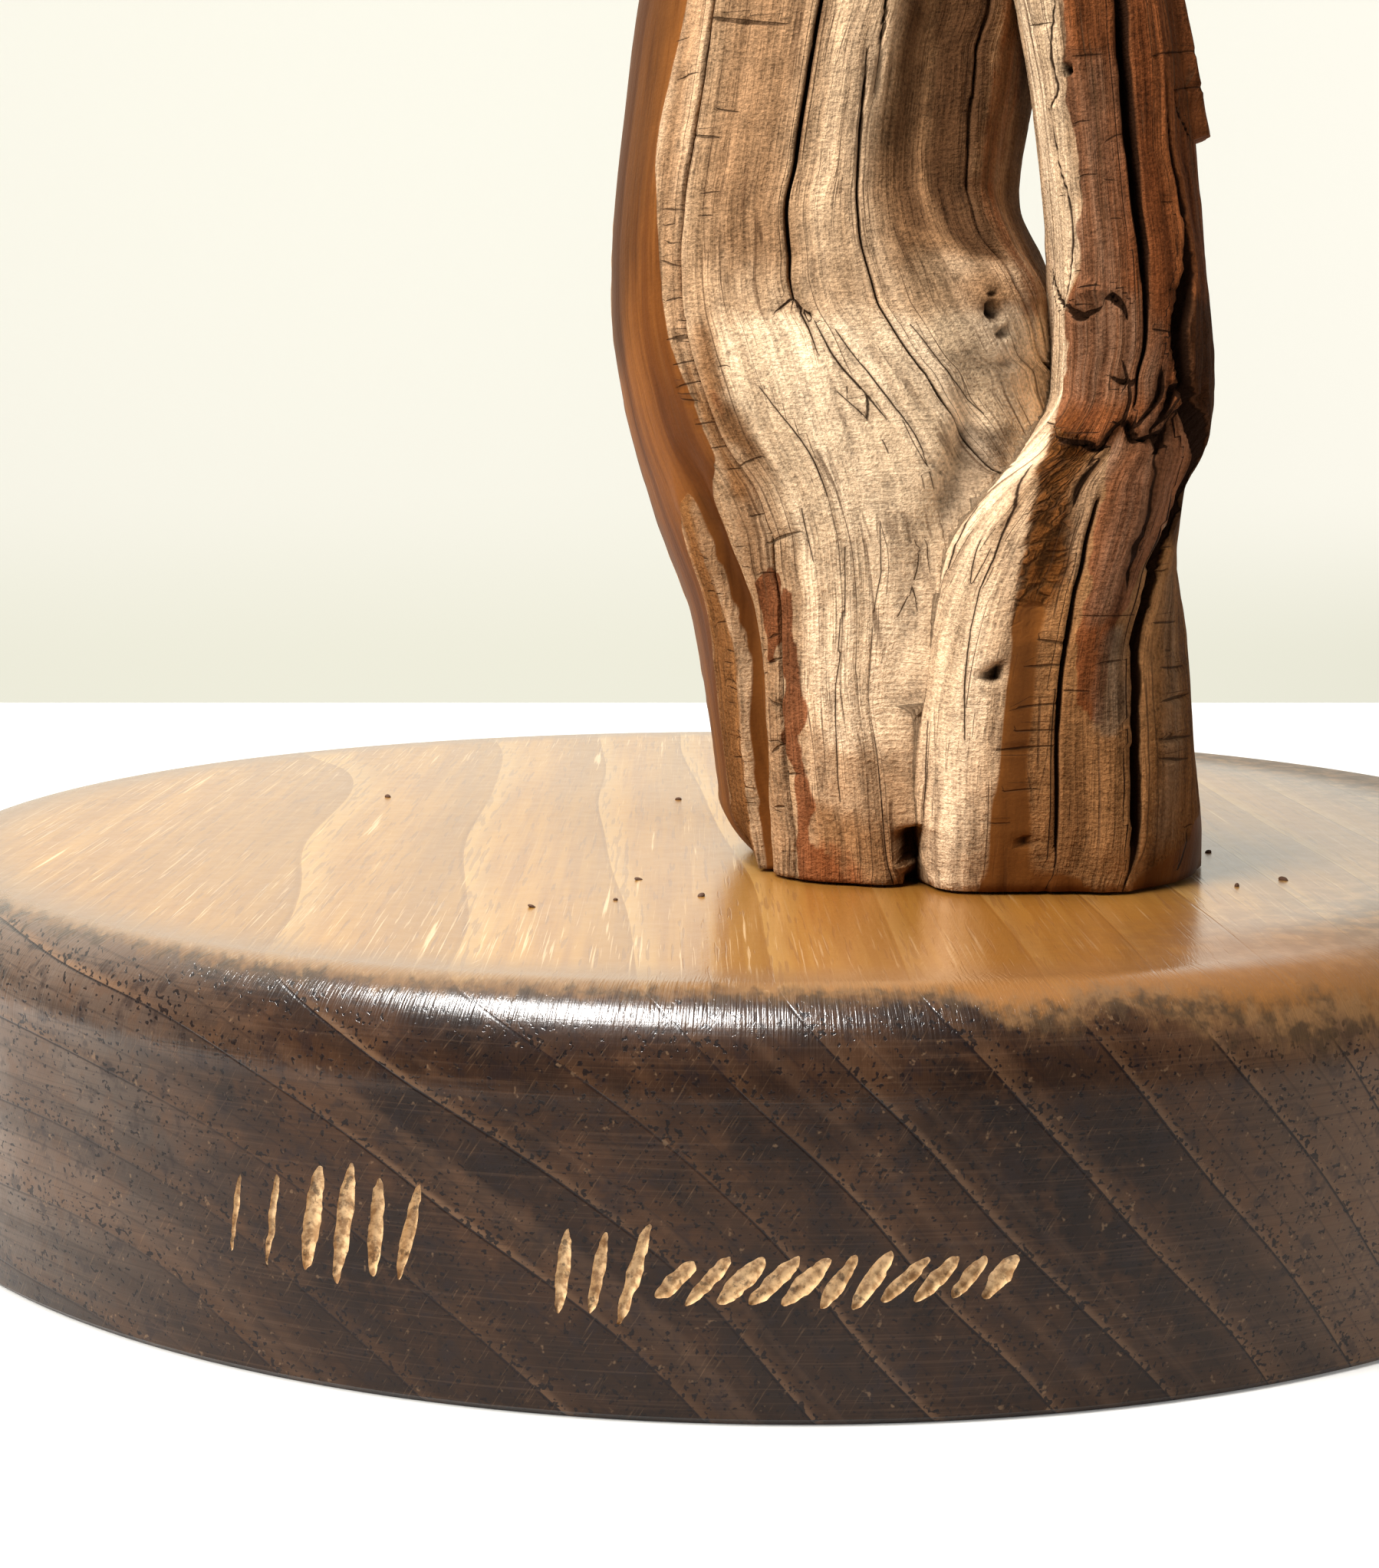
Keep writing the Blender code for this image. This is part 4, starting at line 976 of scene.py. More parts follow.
def weatheredWood():
    made, tree, shader = newMaterial("weathered driftwood", {
        "Coat Roughness": 0.35, "Specular IOR Level": 0.05})
    grain, spot = attributeAt(tree, "grain"), objectPlace(tree)
    split, check, tintA, tintB = (partsOf(attributeAt(tree, name))
                                  for name in ("splitField", "checkField", "tintA", "tintB"))
    oil, redness, bleachAndPaintedLight = tintA
    darkWoodAndPaintedShade, tearing, browning = tintB
    wide = noiseAt(grain, (0.30, 0.30, 0.018))
    narrow = noiseAt(grain, (1.4, 1.4, 0.06), 3.0, 0.6)
    hair = noiseAt(grain, (4.2, 4.2, 0.2), 2.0, 0.6, 0.2)
    ripple = noiseAt(grain, (1.3, 1.3, 2.6), 3.0, 0.65)
    speckle = noiseAt(spot, 3400.0, 2.0, 0.65)
    cloud = noiseAt(spot, 300.0, 4.0, 0.65)

    # a wood whose tone changes in streaks, with darker streaks in it
    def wood(under, over, shade, amount, low=0.33, high=0.68):
        return blend(remap(narrow, 0.5, 0.3, 0.0, amount), blend(remap(wide, low, high), under, over), shade)

    def edged(value, width):  # a ragged edge to a patch
        rough = cloud * 0.25 + narrow * 0.35
        return remap(value + (rough - 0.3), 0.5 - width, 0.5 + width)

    def spread(*noises):  # adds noises up, each from its own middle and with its own weight
        total = 0.0
        for noise, weight in noises:
            total = maths("MULTIPLY_ADD", noise - 0.5, weight, total)
        return total

    # torn, rotten wood breaks up into small blocks
    bent = vectorMaths("MULTIPLY_ADD", noiseAt(grain, 0.7, 2.0, 0.5, output=1), (1.6, 1.6, 1.6), grain)
    bent = addNode(tree, "ShaderNodeMapping", {"Vector": bent, "Scale": (1.5, 1.5, 0.5)})
    crumble = remap(addNode(tree, "ShaderNodeTexVoronoi", {"Vector": bent, "Scale": 1.0}, "Distance",
                            feature="DISTANCE_TO_EDGE"), 0.0, 0.22, 0.25)
    torn = blend(remap(narrow, 0.35, 0.65), (0.055, 0.016, 0.003), (0.130, 0.042, 0.008))
    polish = edged(oil, 0.12)

    # weathered ground, then browner, bleached, reddish, greyed, torn, oiled and darkened wood over it; the
    # bleached layer also carries painted light, the greyed one a painted highlight, the darkened one painted
    # shade
    colour = layered(wood((0.35, 0.215, 0.115), (0.50, 0.34, 0.205), (0.18, 0.096, 0.046), 0.35), [
        (browning * 0.92, wood((0.115, 0.042, 0.010), (0.235, 0.096, 0.025), (0.060, 0.022, 0.006), 0.4)),
        (edged(bleachAndPaintedLight, 0.4) * 0.85,
         wood((0.57, 0.41, 0.255), (0.76, 0.57, 0.38), (0.32, 0.20, 0.11), 0.4)),
        (edged(redness, 0.16) * 0.9,
         wood((0.100, 0.027, 0.008), (0.19, 0.056, 0.017), (0.050, 0.014, 0.005), 0.4)),
        (check[2] * 0.7, blend(remap(narrow, 0.35, 0.65), (0.115, 0.080, 0.050), (0.26, 0.20, 0.135))),
        (edged(tearing, 0.3) * 0.9, blend(crumble, (0.014, 0.005, 0.001), torn)),
        (polish, wood((0.105, 0.033, 0.007), (0.205, 0.073, 0.016), (0.065, 0.019, 0.004), 0.45, 0.38, 0.62)),
        (darkWoodAndPaintedShade, (0.034, 0.0125, 0.0045)),
    ])

    # streaks, blotches and specks deepen or bleach whatever is under them
    rough = 1.0 - polish * 0.8
    tone = spread((wide, 0.7), (narrow, 1.0), (hair, 0.8), (cloud, 1.1), (speckle, 1.6), (ripple, 0.5))
    tone = maths("MAXIMUM", maths("MULTIPLY_ADD", tone, rough, 1.0), 0.25)
    colour = addNode(tree, "ShaderNodeVectorMath", {0: colour, "Scale": tone}, operation="SCALE")

    # the finest lines are contours of a noise stretched along the grain
    def contour(scale, width, mask, shift=(0.0, 0.0, 0.0)):
        away = maths("ABSOLUTE", noiseAt(grain, scale, 1.5, 0.5, shift=shift) - 0.5)
        return remap(away, width, width * 0.25) * mask * rough

    longMask = remap(noiseAt(grain, (0.5, 0.5, 0.09), 1.0), 0.48, 0.6)
    shortMask = remap(noiseAt(grain, (0.7, 0.7, 0.2), 1.0, shift=(3.0, 9.0, 4.0)), 0.52, 0.64)
    lines = maths("MAXIMUM", contour((0.55, 0.55, 0.013), 0.017, longMask) * 0.7,
                  contour((1.5, 1.5, 0.05), 0.026, shortMask, (7.0, 3.0, 1.0)) * 0.45)

    # painted shade: splits, checks and pits go nearly black, each as wide as its own mark says
    def markShadeAndHalo(mark):
        inside = mark[1] - maths("ABSOLUTE", mark[0])
        shown = maths("GREATER_THAN", mark[1], 0.015)
        return remap(inside, -0.05, 0.05) * shown, remap(inside, -0.28, -0.02) * shown

    splitShade, splitHalo = markShadeAndHalo(split)
    checkShade, checkHalo = markShadeAndHalo(check)
    dark = maths("MAXIMUM", maths("MAXIMUM", splitShade, checkShade * 0.7), split[2])
    colour = layered(colour, [
        (lines, (0.075, 0.036, 0.017)),
        (maths("MAXIMUM", splitHalo * 0.25, checkHalo * 0.12), (0.09, 0.042, 0.02)),
        (dark * 0.95, (0.014, 0.006, 0.003)),
    ])
    feed(shader, {"Base Color": colour, "Roughness": 0.85 - polish * 0.3, "Coat Weight": polish * 0.07})
    relief = spread((hair, 0.5), (narrow, 1.3), (speckle, 0.5), (ripple, 0.6), (cloud, 0.7))
    relief = maths("MULTIPLY_ADD", crumble * tearing, 1.2, relief) * (1.0 - polish * 0.85)
    finishBump(shader, relief - (dark * 0.8 + lines * 0.35), 0.8, 0.0004)
    return made


driftwood = buildDriftwood()
driftwood.data.materials.clear()
driftwood.data.materials.append(weatheredWood())
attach(driftwood, "root")
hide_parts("driftwood")


# Geometry trees: built here, run once on a holder, and turned into a plain mesh
def newTree(name, inputs):
    tree = bpy.data.node_groups.new(name, "GeometryNodeTree")
    for label, kind in inputs.items():
        tree.interface.new_socket(label, in_out="INPUT", socket_type="NodeSocket" + kind)
    tree.interface.new_socket("Geometry", in_out="OUTPUT", socket_type="NodeSocketGeometry")
    entry = tree.nodes.new("NodeGroupInput").outputs
    return tree, {label: Field(entry[label]) for label in inputs}, tree.nodes.new("NodeGroupOutput")


def finishTree(tree, geometry, material, end):
    real = addNode(tree, "GeometryNodeRealizeInstances", {0: geometry})
    feed(end, {0: addNode(tree, "GeometryNodeSetMaterial", {0: real, 2: material})})


def placeOf(tree):
    return addNode(tree, "GeometryNodeInputPosition")


def randomValue(tree, kind, low, high, seed):
    vector = kind == "FLOAT_VECTOR"
    sockets = {"Min" if vector else 2: low, "Max" if vector else 3: high, "Seed": seed}
    return addNode(tree, "FunctionNodeRandomValue", sockets, 0 if vector else 1, data_type=kind)


def grown(name, tree, settings, points=()):
    mesh = bpy.data.meshes.new(name)
    mesh.from_pydata(list(points), [], [])
    holder = placed(name, mesh)
    modifier = holder.modifiers.new(name, "NODES")
    modifier.node_group = tree
    for item in tree.interface.items_tree:
        if item.in_out == "INPUT" and item.name in settings:
            modifier[item.identifier] = settings[item.name]
    settle(holder)
    holder.data.materials.clear()
    holder.data.materials.append(settings["Finish"])
    return holder


roundBase = {
    "edgeRadius": 7.4, "bottomEase": 0.6, "sides": 320, "sideRows": 40, "topRings": 18, "sharpFrom": 28,
    # growth rings: their centre's x and z, how far it climbs along y, and their spacing
    "ringCentre": (-80.0, -78.0), "ringClimb": -0.035, "ringSpacing": 6.6,
    # how far down the round edge the dark stain starts, by degrees round from the front
    "stainEdge": [
        (-180, 2.8), (-120, 3.2), (-80, 2.4), (-50, 2.2), (-37, 2.6), (-29, 2.8), (-19, 3.2), (-12, 2.8),
        (-3, 2.6), (6, 2.8), (8, 3.4), (9.5, 5.0), (13, 5.0), (15, 4.4), (20, 6.0), (24, 7.4), (30, 7.8),
        (36, 8.4), (50, 7.4), (80, 3.4), (120, 3.2), (150, 2.4), (180, 2.8),
    ],
    # heights between which faces set back from the side belong to the strokes
    "strokeBand": (4, 21), "setBack": 0.04,
    # rows of cut strokes: arc of the first, height, count, spacing, length, width, slant, depth
    "strokes": [
        (-44.2, 13.0, 2, 3.4, 8.6, 0.55, 3, 0.28), (-37.2, 13.2, 4, 2.7, 8.4, 1.25, 14, 0.55),
        (-17.2, 11.2, 3, 2.6, 7.4, 0.95, 12, 0.4), (-8.9, 11.0, 11, 2.35, 4.6, 1.35, 38, 0.55),
    ],
    # crumbs of wood lying on the top: their size, how high they lie, and each one's x and y
    "crumbSize": 0.34, "crumbLift": 0.05,
    "crumbs": [(-21.5, -53.0), (-14.4, -49.7), (-6.9, -47.8), (-12.6, -39.4), (-9.2, 13.2), (-42.5, 15.3),
               (41.5, -42.9), (46.5, -39.6), (39.9, -26.5), (43.0, -24.0)],
}


# A disc with a round top edge: a unit cylinder whose side rows are sent round the edge's profile
def turnedBaseTree():
    inputs = {"Diameter": "Float", "Thickness": "Float", "Edge radius": "Float", "Bottom ease": "Float",
              "Sides": "Int", "Side rows": "Int", "Top rings": "Int", "Finish": "Material"}
    tree, given, end = newTree("turned round base", inputs)
    solid = addNode(tree, "GeometryNodeMeshCylinder", {
        "Vertices": given["Sides"], "Side Segments": given["Side rows"], "Fill Segments": given["Top rings"],
        "Radius": 1.0, "Depth": 1.0}, "Mesh", fill_type="TRIANGLE_FAN")
    x, y, z = partsOf(placeOf(tree))
    share = z + 0.5
    firstRow = maths("DIVIDE", 1.0, given["Side rows"])
    low = maths("MINIMUM", share / firstRow, 1.0)
    straight = addNode(tree, "ShaderNodeMapRange", {0: share, 1: firstRow, 2: 0.5}, clamp=True)
    turn = addNode(tree, "ShaderNodeMapRange", {0: share, 1: 0.5, 2: 1.0, 4: math.pi / 2}, clamp=True)
    wall = given["Thickness"] - given["Edge radius"] - given["Bottom ease"]
    height = low * given["Bottom ease"] + straight * wall + given["Edge radius"] * maths("SINE", turn)
    inset = given["Bottom ease"] * (1.0 - low) + given["Edge radius"] * (1.0 - maths("COSINE", turn))
    radius = given["Diameter"] / 2.0 - inset
    spot = vectorOf(x * radius, y * radius, height)
    finishTree(tree, addNode(tree, "GeometryNodeSetPosition", {"Geometry": solid, "Position": spot}),
               given["Finish"], end)
    return tree


# A row of slanted gouge marks, laid out flat and then wrapped round the base's side
def strokeRowTree():
    inputs = {"Radius": "Float", "First arc": "Float", "Height": "Float", "Count": "Int", "Spacing": "Float",
              "Length": "Float", "Width": "Float", "Slant": "Float", "Depth": "Float", "Seed": "Int",
              "Finish": "Material"}
    tree, given, end = newTree("row of cut strokes", inputs)
    line = addNode(tree, "GeometryNodeMeshLine", {
        "Count": given["Count"], "Start Location": vectorOf(given["First arc"], z=given["Height"]),
        "Offset": vectorOf(given["Spacing"])}, mode="OFFSET")
    bead = addNode(tree, "GeometryNodeMeshIcoSphere", {"Radius": 1.0, "Subdivisions": 4})
    uneven = randomValue(tree, "FLOAT_VECTOR", (0.75, 0.85, 0.8), (1.2, 1.1, 1.15), given["Seed"])
    plain = vectorOf(given["Width"] / 2.0, given["Depth"], given["Length"] / 2.0)
    size = vectorMaths("MULTIPLY", plain, uneven)
    turn = vectorOf(y=given["Slant"] + randomValue(tree, "FLOAT", -0.16, 0.16, given["Seed"]))
    marks = addNode(tree, "GeometryNodeInstanceOnPoints", {
        "Points": line, "Instance": bead, "Rotation": turn, "Scale": size})
    real = addNode(tree, "GeometryNodeRealizeInstances", {0: marks})
    here = placeOf(tree)
    rough = vectorMaths("SUBTRACT", noiseAt(here, 900.0, 2.0, 0.5, output="Color"), (0.5, 0.38, 0.5))
    across, inward, up = partsOf(vectorMaths("MULTIPLY_ADD", rough, (0.0006, 0.0006, 0.0006), here))
    angle, out = across / given["Radius"], given["Radius"] - inward
    spot = vectorOf(out * maths("SINE", angle), out * maths("COSINE", angle) * -1.0, up)
    finishTree(tree, addNode(tree, "GeometryNodeSetPosition", {"Geometry": real, "Position": spot}),
               given["Finish"], end)
    return tree


# Small uneven lumps on given points
def crumbTree():
    inputs = {"Places": "Geometry", "Size": "Float", "Seed": "Int", "Finish": "Material"}
    tree, given, end = newTree("crumbs on points", inputs)
    lumps = addNode(tree, "GeometryNodeInstanceOnPoints", {
        "Points": given["Places"],
        "Instance": addNode(tree, "GeometryNodeMeshIcoSphere", {"Radius": given["Size"], "Subdivisions": 2}),
        "Rotation": randomValue(tree, "FLOAT_VECTOR", (0, 0, 0), (0.4, 0.4, 6.3), given["Seed"]),
        "Scale": randomValue(tree, "FLOAT_VECTOR", (0.6, 0.6, 0.4), (1.5, 1.2, 0.9), given["Seed"])})
    finishTree(tree, lumps, given["Finish"], end)
    return tree


def stainedWood():
    made, tree, shader = newMaterial("stained end-grain wood", {
        "Specular IOR Level": 0.13, "Coat Roughness": 0.19, "Coat IOR": 1.6})
    size = roundBase
    spot = objectPlace(tree)
    x, y, z = partsOf(addNode(tree, "ShaderNodeMapping", {"Vector": spot, "Scale": (1000.0, 1000.0, 1000.0)}))
    stain, run, _ = partsOf(attributeAt(tree, "edgeRun"))
    facing = maths("ARCTAN2", x, y * -1.0)

    # noise laid round the edge, with its scales along the arc and down the run
    def onEdge(across, along, slant=0.0):
        sockets = {"Vector": vectorOf(facing * 90.0, run), "Angle": slant}
        turned = addNode(tree, "ShaderNodeVectorRotate", sockets, rotation_type="Z_AXIS")
        return noiseAt(turned, (across, along, 1.0), 2.0, 0.6)

    # distance from the log's heart, which lies low on the left and runs from front to back
    sideways = x - size["ringCentre"][0]
    upward = z - size["ringCentre"][1] - y * size["ringClimb"]
    heart = maths("SQRT", sideways * sideways + upward * upward)
    ring = heart / size["ringSpacing"] + noiseAt(spot, (14.0, 5.0, 14.0), 2.0) * 1.9
    inRing, third = maths("FRACT", ring), maths("FRACT", ring * 3.0)
    strong = noiseAt(spot, (26.0, 8.0, 26.0), 1.0)
    late, early = remap(inRing, 0.35, 0.97), remap(inRing, 0.25, 0.0)
    line = remap(inRing, 0.962, 0.985) * remap(inRing, 1.0, 0.99) * remap(strong, 0.3, 0.6, 0.25, 1.0)
    lit = remap(inRing, 0.10, 0.02) * remap(strong, 0.45, 0.6)
    faint = remap(third, 0.86, 0.96) * remap(third, 1.0, 0.97)
    stripes = noiseAt(vectorOf(ring * 1.3), 1.0, 2.0, 0.6)

    # pores and fibres are long front to back, so the front shows them as dots
    pores = noiseAt(spot, (2600.0, 130.0, 2600.0), 1.0, 0.5)
    fibres = noiseAt(spot, (1100.0, 26.0, 1100.0), 3.0, 0.6)
    bands = noiseAt(spot, (130.0, 9.0, 130.0))
    blotch = noiseAt(spot, 55.0, 3.0, 0.6)
    mottle = noiseAt(spot, 420.0, 3.0, 0.65)
    fleck = noiseAt(spot, 1300.0, 2.0, 0.6)
    level = noiseAt(spot, (55.0, 55.0, 4600.0), 3.0, 0.65)
    threads = noiseAt(spot, (4300.0, 62.0, 4300.0), 2.0, 0.6, 0.6)
    hatch, across = onEdge(5.5, 0.32, math.radians(-32)), onEdge(4.2, 0.20)
    poreDark = remap(pores - ((1.0 - early) * 0.075 + 0.558), 0.0, 0.05)

    nearEdge = remap(run, -9.0, -1.0) * remap(across, 0.66, 0.72)
    raised = remap(run, -34.0, -7.0, 0.2, 0.9) * remap(threads, 0.60, 0.68)
    # a dirtier, darker stretch at the right, down to the edge
    dirt = remap(facing, 0.1, 0.5) * remap(run, -26.0, -5.0) * remap(mottle, 0.35, 0.6, 0.55, 1.0)
    amber = layered(blend(remap(fibres, 0.35, 0.65), (0.26, 0.116, 0.021), (0.34, 0.170, 0.035)), [
        (remap(bands, 0.4, 0.65, 0.0, 0.4), (0.205, 0.090, 0.017)),
        (late * 0.5, (0.205, 0.099, 0.023)),
        (early * 0.5, (0.43, 0.265, 0.092)),
        (line * 0.3, (0.10, 0.035, 0.008)),
        (poreDark * 0.4, (0.14, 0.065, 0.03)),
        (remap(fibres, 0.66, 0.74, 0.0, 0.5), (0.76, 0.56, 0.32)),
        (maths("MAXIMUM", nearEdge, raised) * 0.5, (0.66, 0.48, 0.27)),
        (remap(run, -7.0, 0.0, 0.0, 0.75), (0.185, 0.108, 0.055)),
        (dirt, (0.082, 0.051, 0.027)),
        # painted reflection: the top darkens in front of the foot, as if mirroring the dark trunk
        (remap(facing, -0.12, 0.12, 0.0, 0.6) * remap(facing, 0.75, 0.45), (0.18, 0.064, 0.008)),
    ])
    dark = layered(blend(remap(bands, 0.35, 0.65), (0.010, 0.005, 0.0035), (0.032, 0.0145, 0.0075)), [
        # painted reflection: the side lightens towards the left
        (remap(facing, -0.4, -1.0, 0.0, 0.85), (0.190, 0.142, 0.110)),
        (remap(facing, 0.25, 0.65, 0.0, 0.75), (0.150, 0.084, 0.048)),
        (remap(blotch, 0.45, 0.72, 0.0, 0.6), (0.055, 0.024, 0.010)),
        (remap(mottle, 0.50, 0.68, 0.0, 0.3), (0.080, 0.036, 0.016)),
        # painted shade: the side darkens towards the bottom, less so at the right
        (remap(z, 14.0, 3.0, 0.0, 0.6) * remap(facing, 0.6, 0.2), (0.014, 0.007, 0.004)),
        (early * 0.35, (0.080, 0.037, 0.016)),
        (remap(stripes, 0.52, 0.40, 0.0, 0.4), (0.009, 0.006, 0.005)),
        (remap(stripes, 0.56, 0.68, 0.0, 0.3), (0.110, 0.060, 0.034)),
        (remap(mottle, 0.46, 0.34, 0.0, 0.55), (0.013, 0.008, 0.008)),
        (line * 0.9, (0.007, 0.004, 0.004)),
        (lit * remap(facing, 0.1, -0.5, 0.3, 0.8), (0.16, 0.090, 0.050)),
        (faint * 0.35, (0.008, 0.005, 0.005)),
        (poreDark * 0.9, (0.006, 0.004, 0.004)),
        (remap(hatch, 0.60, 0.74, 0.0, 0.2), (0.20, 0.115, 0.06)),
        (remap(level, 0.48, 0.34, 0.0, 0.3), (0.009, 0.006, 0.005)),
        (remap(level, 0.52, 0.68, 0.0, 0.14), (0.115, 0.066, 0.040)),
        (remap(fleck, 0.66, 0.76, 0.0, 0.3), (0.25, 0.15, 0.08)),
    ])

    # the stain gives way to amber over a few ragged, worn millimetres
    ragged = (stripes - 0.5) * remap(facing, 0.1, 0.5, 2.0, 14.0)
    ragged = maths("MULTIPLY_ADD", fibres - 0.5, 4.5, ragged) + (mottle - 0.5) * 3.6
    stained = remap((stain + ragged) / remap(facing, 0.1, 0.5, 2.4, 5.0), -1.0, 1.0)
    worn = blend(remap(mottle, 0.4, 0.6), (0.050, 0.029, 0.015), (0.135, 0.070, 0.029))
    colour = layered(amber, [(remap(stained, 0.0, 0.5), worn), (remap(stained, 0.45, 1.0), dark)])
    # the coat is rubbed off at the right
    rubbed = maths("MAXIMUM", remap(run, 0.5, 2.5) * remap(facing, 0.08, 0.2),
                   remap(run, -12.0, -3.0) * remap(facing, 0.3, 0.6))
    gloss = (remap(run, 7.5, 13.0, 1.0, 0.08) - rubbed * 0.85) * remap(run, -1.5, 0.5, 0.85, 1.0)
    feed(shader, {"Base Color": colour, "Roughness": fibres * 0.12 + mottle * 0.2 + 0.22,
                  "Coat Weight": maths("MAXIMUM", gloss, 0.05)})
    onRound = remap(run, -3.0, 1.0) * remap(run, 13.0, 9.0)
    relief = fibres * 0.4 - poreDark * 0.2 - line * 0.5 + level * 0.25 + hatch * 0.3 + across * onRound * 1.3
    finishBump(shader, relief, 0.5, 0.00008, ("Normal", "Coat Normal"))
    return made


def bareWood():
    made, tree, shader = newMaterial("bare cut wood", {"Roughness": 0.6})
    spot = objectPlace(tree)
    fibres = noiseAt(spot, (1500.0, 200.0, 1500.0), 3.0, 0.65)
    scuff = noiseAt(spot, 1100.0, 3.0, 0.7)
    colour = blend(remap(fibres, 0.35, 0.62), (0.30, 0.17, 0.075), (0.66, 0.45, 0.24))
    feed(shader, {"Base Color": blend(remap(scuff, 0.56, 0.66, 0.0, 0.7), colour, (0.07, 0.04, 0.02))})
    finishBump(shader, scuff, 0.5, 0.0001)
    return made


def buildBase():
    size = roundBase
    low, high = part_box("round_base")
    radius = (high.x - low.x) / 2
    dark, bare = stainedWood(), bareWood()
    base = grown("base_turned", turnedBaseTree(), {
        "Diameter": 2 * radius, "Thickness": high.z - low.z, "Edge radius": size["edgeRadius"] * mm,
        "Bottom ease": size["bottomEase"] * mm, "Sides": size["sides"], "Side rows": size["sideRows"],
        "Top rings": size["topRings"], "Finish": dark})
    tree = strokeRowTree()
    for n, (arc, height, count, spacing, length, width, slant, depth) in enumerate(size["strokes"]):
        cutter = grown("strokes", tree, {
            "Radius": radius, "First arc": arc * mm, "Height": height * mm, "Count": count,
            "Spacing": spacing * mm, "Length": length * mm, "Width": width * mm,
            "Slant": math.radians(slant), "Depth": depth * mm, "Seed": n, "Finish": bare})
        combine(base, cutter, operation="DIFFERENCE", solver="EXACT", material_mode="TRANSFER")
    mesh = base.data
    mesh.shade_smooth()
    mesh.set_sharp_from_angle(angle=math.radians(size["sharpFrom"]))
    mesh.materials.clear()
    mesh.materials.append(dark)
    mesh.materials.append(bare)
    x, y, z = readLayer(mesh, "position").T / mm
    outer, edge, band = radius / mm, size["edgeRadius"], size["strokeBand"]
    hollow = (z > band[0]) & (z < band[1]) & (np.hypot(x, y) < outer - size["setBack"])
    for face in mesh.polygons:
        face.material_index = int(hollow[list(face.vertices)].any())
    # how far down the round edge and the side each point is, on its own and from where the stain starts
    out, up = np.hypot(x, y) - (outer - edge), z - ((high.z - low.z) / mm - edge)
    turn = np.arctan2(np.maximum(out, 0), np.maximum(up, 1e-6))
    run = np.where(out < 0, out, np.where(up > 0, edge * turn, edge * math.pi / 2 - up))
    start = readTable(size["stainEdge"], np.degrees(np.arctan2(x, -y)))[:, 0]
    writeLayer(mesh, "edgeRun", np.column_stack([run - start, run, 0 * run]))
    print("base:", len(mesh.vertices), "vertices")
    return base


base = buildBase()
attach(base, "root")
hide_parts("round_base")
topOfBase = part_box("round_base")[1].z
crumbFinish = newMaterial("wood crumbs", {"Base Color": (0.07, 0.035, 0.02, 1.0), "Roughness": 0.8})[0]
crumbs = grown("wood_crumbs", crumbTree(), {
    "Size": roundBase["crumbSize"] * mm, "Seed": 4, "Finish": crumbFinish,
}, [(x * mm, y * mm, topOfBase + roundBase["crumbLift"] * mm) for x, y in roundBase["crumbs"]])
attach(crumbs, "root")
print("base and crumbs built")

# Stage, lights and camera
stageSize = {
    "halfWidth": 3.0, "front": -1.6, "tableEnd": 0.44, "wallAt": 1.25, "wallLow": -1.5, "wallHigh": 3.0,
}
lightPlan = [
    # name, place, aimed at, size across, size along, watts, colour, mirrored in glossy finishes
    ("overheadStrip", (-0.23, -0.06, 0.95), (0, 0, 0.03), 0.42, 0.17, 13.0, (1.0, 0.98, 0.96), True),
    ("keyFromLeft", (-0.62, -0.52, 0.74), (0.0, 0, 0.06), 0.45, 0.45, 20.0, (1.0, 0.97, 0.93), False),
    ("fillFromRight", (0.85, -0.55, 0.32), (0.0, 0, 0.03), 0.6, 0.6, 2.2, (1.0, 0.98, 0.96), False),
]
# how much light the wall, the table and the room give off themselves, as in an overexposed picture
glow = {"wall": 0.62, "table": 0.22, "room": 0.08}


def flatPanel(name, corners, finish):
    mesh = bpy.data.meshes.new(name)
    mesh.from_pydata(corners, [], [tuple(range(len(corners)))])
    mesh.materials.append(finish)
    made = placed(name, mesh)


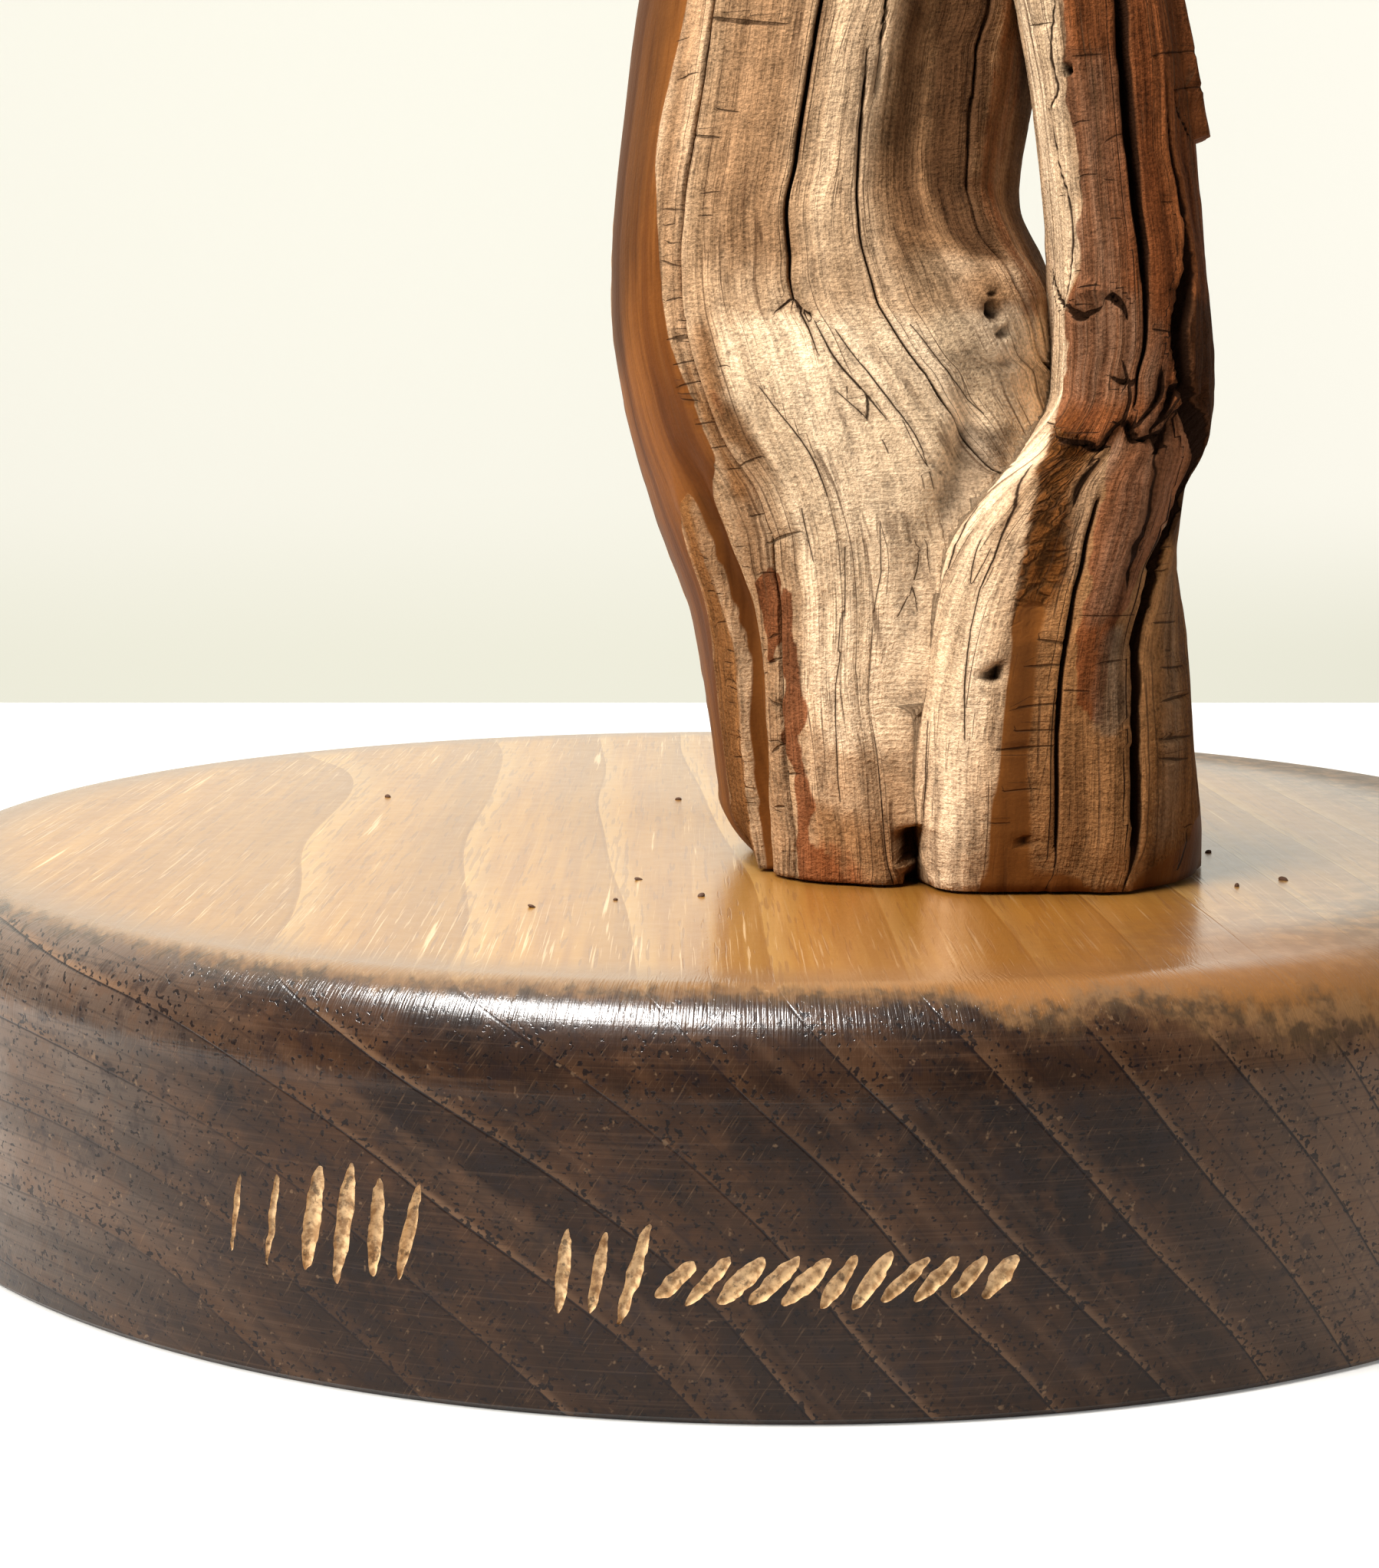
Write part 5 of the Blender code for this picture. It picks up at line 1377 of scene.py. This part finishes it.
def setStage():
    size = stageSize
    wide, near, far = size["halfWidth"], size["front"], size["tableEnd"]
    back, low, high = size["wallAt"], size["wallLow"], size["wallHigh"]
    white, tree, shader = newMaterial("white table", {"Emission Strength": glow["table"], "Roughness": 0.7})
    depth = partsOf(objectPlace(tree))[1]
    # painted shadow: the table's colour and glow darken towards the camera
    tone = blend(remap(depth, -0.21, -0.14), (0.04, 0.04, 0.04), (0.66, 0.66, 0.645))
    feed(shader, {"Base Color": tone, "Emission Color": tone})
    cream, tree, shader = newMaterial("cream wall", {
        "Base Color": (0.42, 0.415, 0.37, 1.0), "Roughness": 0.9, "Emission Strength": glow["wall"]})
    x, _, z = partsOf(objectPlace(tree))
    # painted light and shade: the wall's glow is brighter to the right and darker low down
    shade = blend(remap(x, 0.1, 0.6), (1.0, 0.985, 0.87), (1.16, 1.13, 1.02))
    feed(shader, {"Emission Color": blend(remap(z, 0.06, -0.06), shade, (0.90, 0.895, 0.74))})
    flatPanel("table", [(-wide, near, 0), (wide, near, 0), (wide, far, 0), (-wide, far, 0)], white)
    flatPanel("wall", [(-wide, back, low), (wide, back, low), (wide, back, high), (-wide, back, high)], cream)
    world = bpy.data.worlds.new("soft room")
    world.use_nodes = True
    feed(world.node_tree.nodes["Background"], {0: (1.0, 0.985, 0.95, 1.0), 1: glow["room"]})
    bpy.context.scene.world = world


def setLights():
    for name, place, target, across, along, watts, colour, mirrored in lightPlan:
        data = bpy.data.lights.new(name, "AREA")
        data.shape, data.size, data.size_y = "RECTANGLE", across, along
        data.energy, data.color = watts, colour
        lamp = placed(name, data)
        lamp.location = place
        lamp.visible_glossy = mirrored
        aim = np.array(target, float) - np.array(place, float)
        lamp.rotation_euler = (math.atan2(math.hypot(aim[0], aim[1]), -aim[2]), 0,
                               math.atan2(aim[1], aim[0]) - math.pi / 2)


view = {"place": (-0.00793, -0.25449, 0.06913), "tiltDown": 7.642, "lens": 54.6, "sensor": 36.0}


def setCamera():
    data = bpy.data.cameras.new("photographView")
    data.lens, data.sensor_width, data.clip_start = view["lens"], view["sensor"], 0.01
    camera = placed("photographView", data)
    camera.location = view["place"]
    camera.rotation_euler = (math.radians(90 - view["tiltDown"]), 0, 0)
    bpy.context.scene.camera = camera
    bpy.context.scene.view_settings.view_transform = "Standard"


setStage()
setLights()
setCamera()
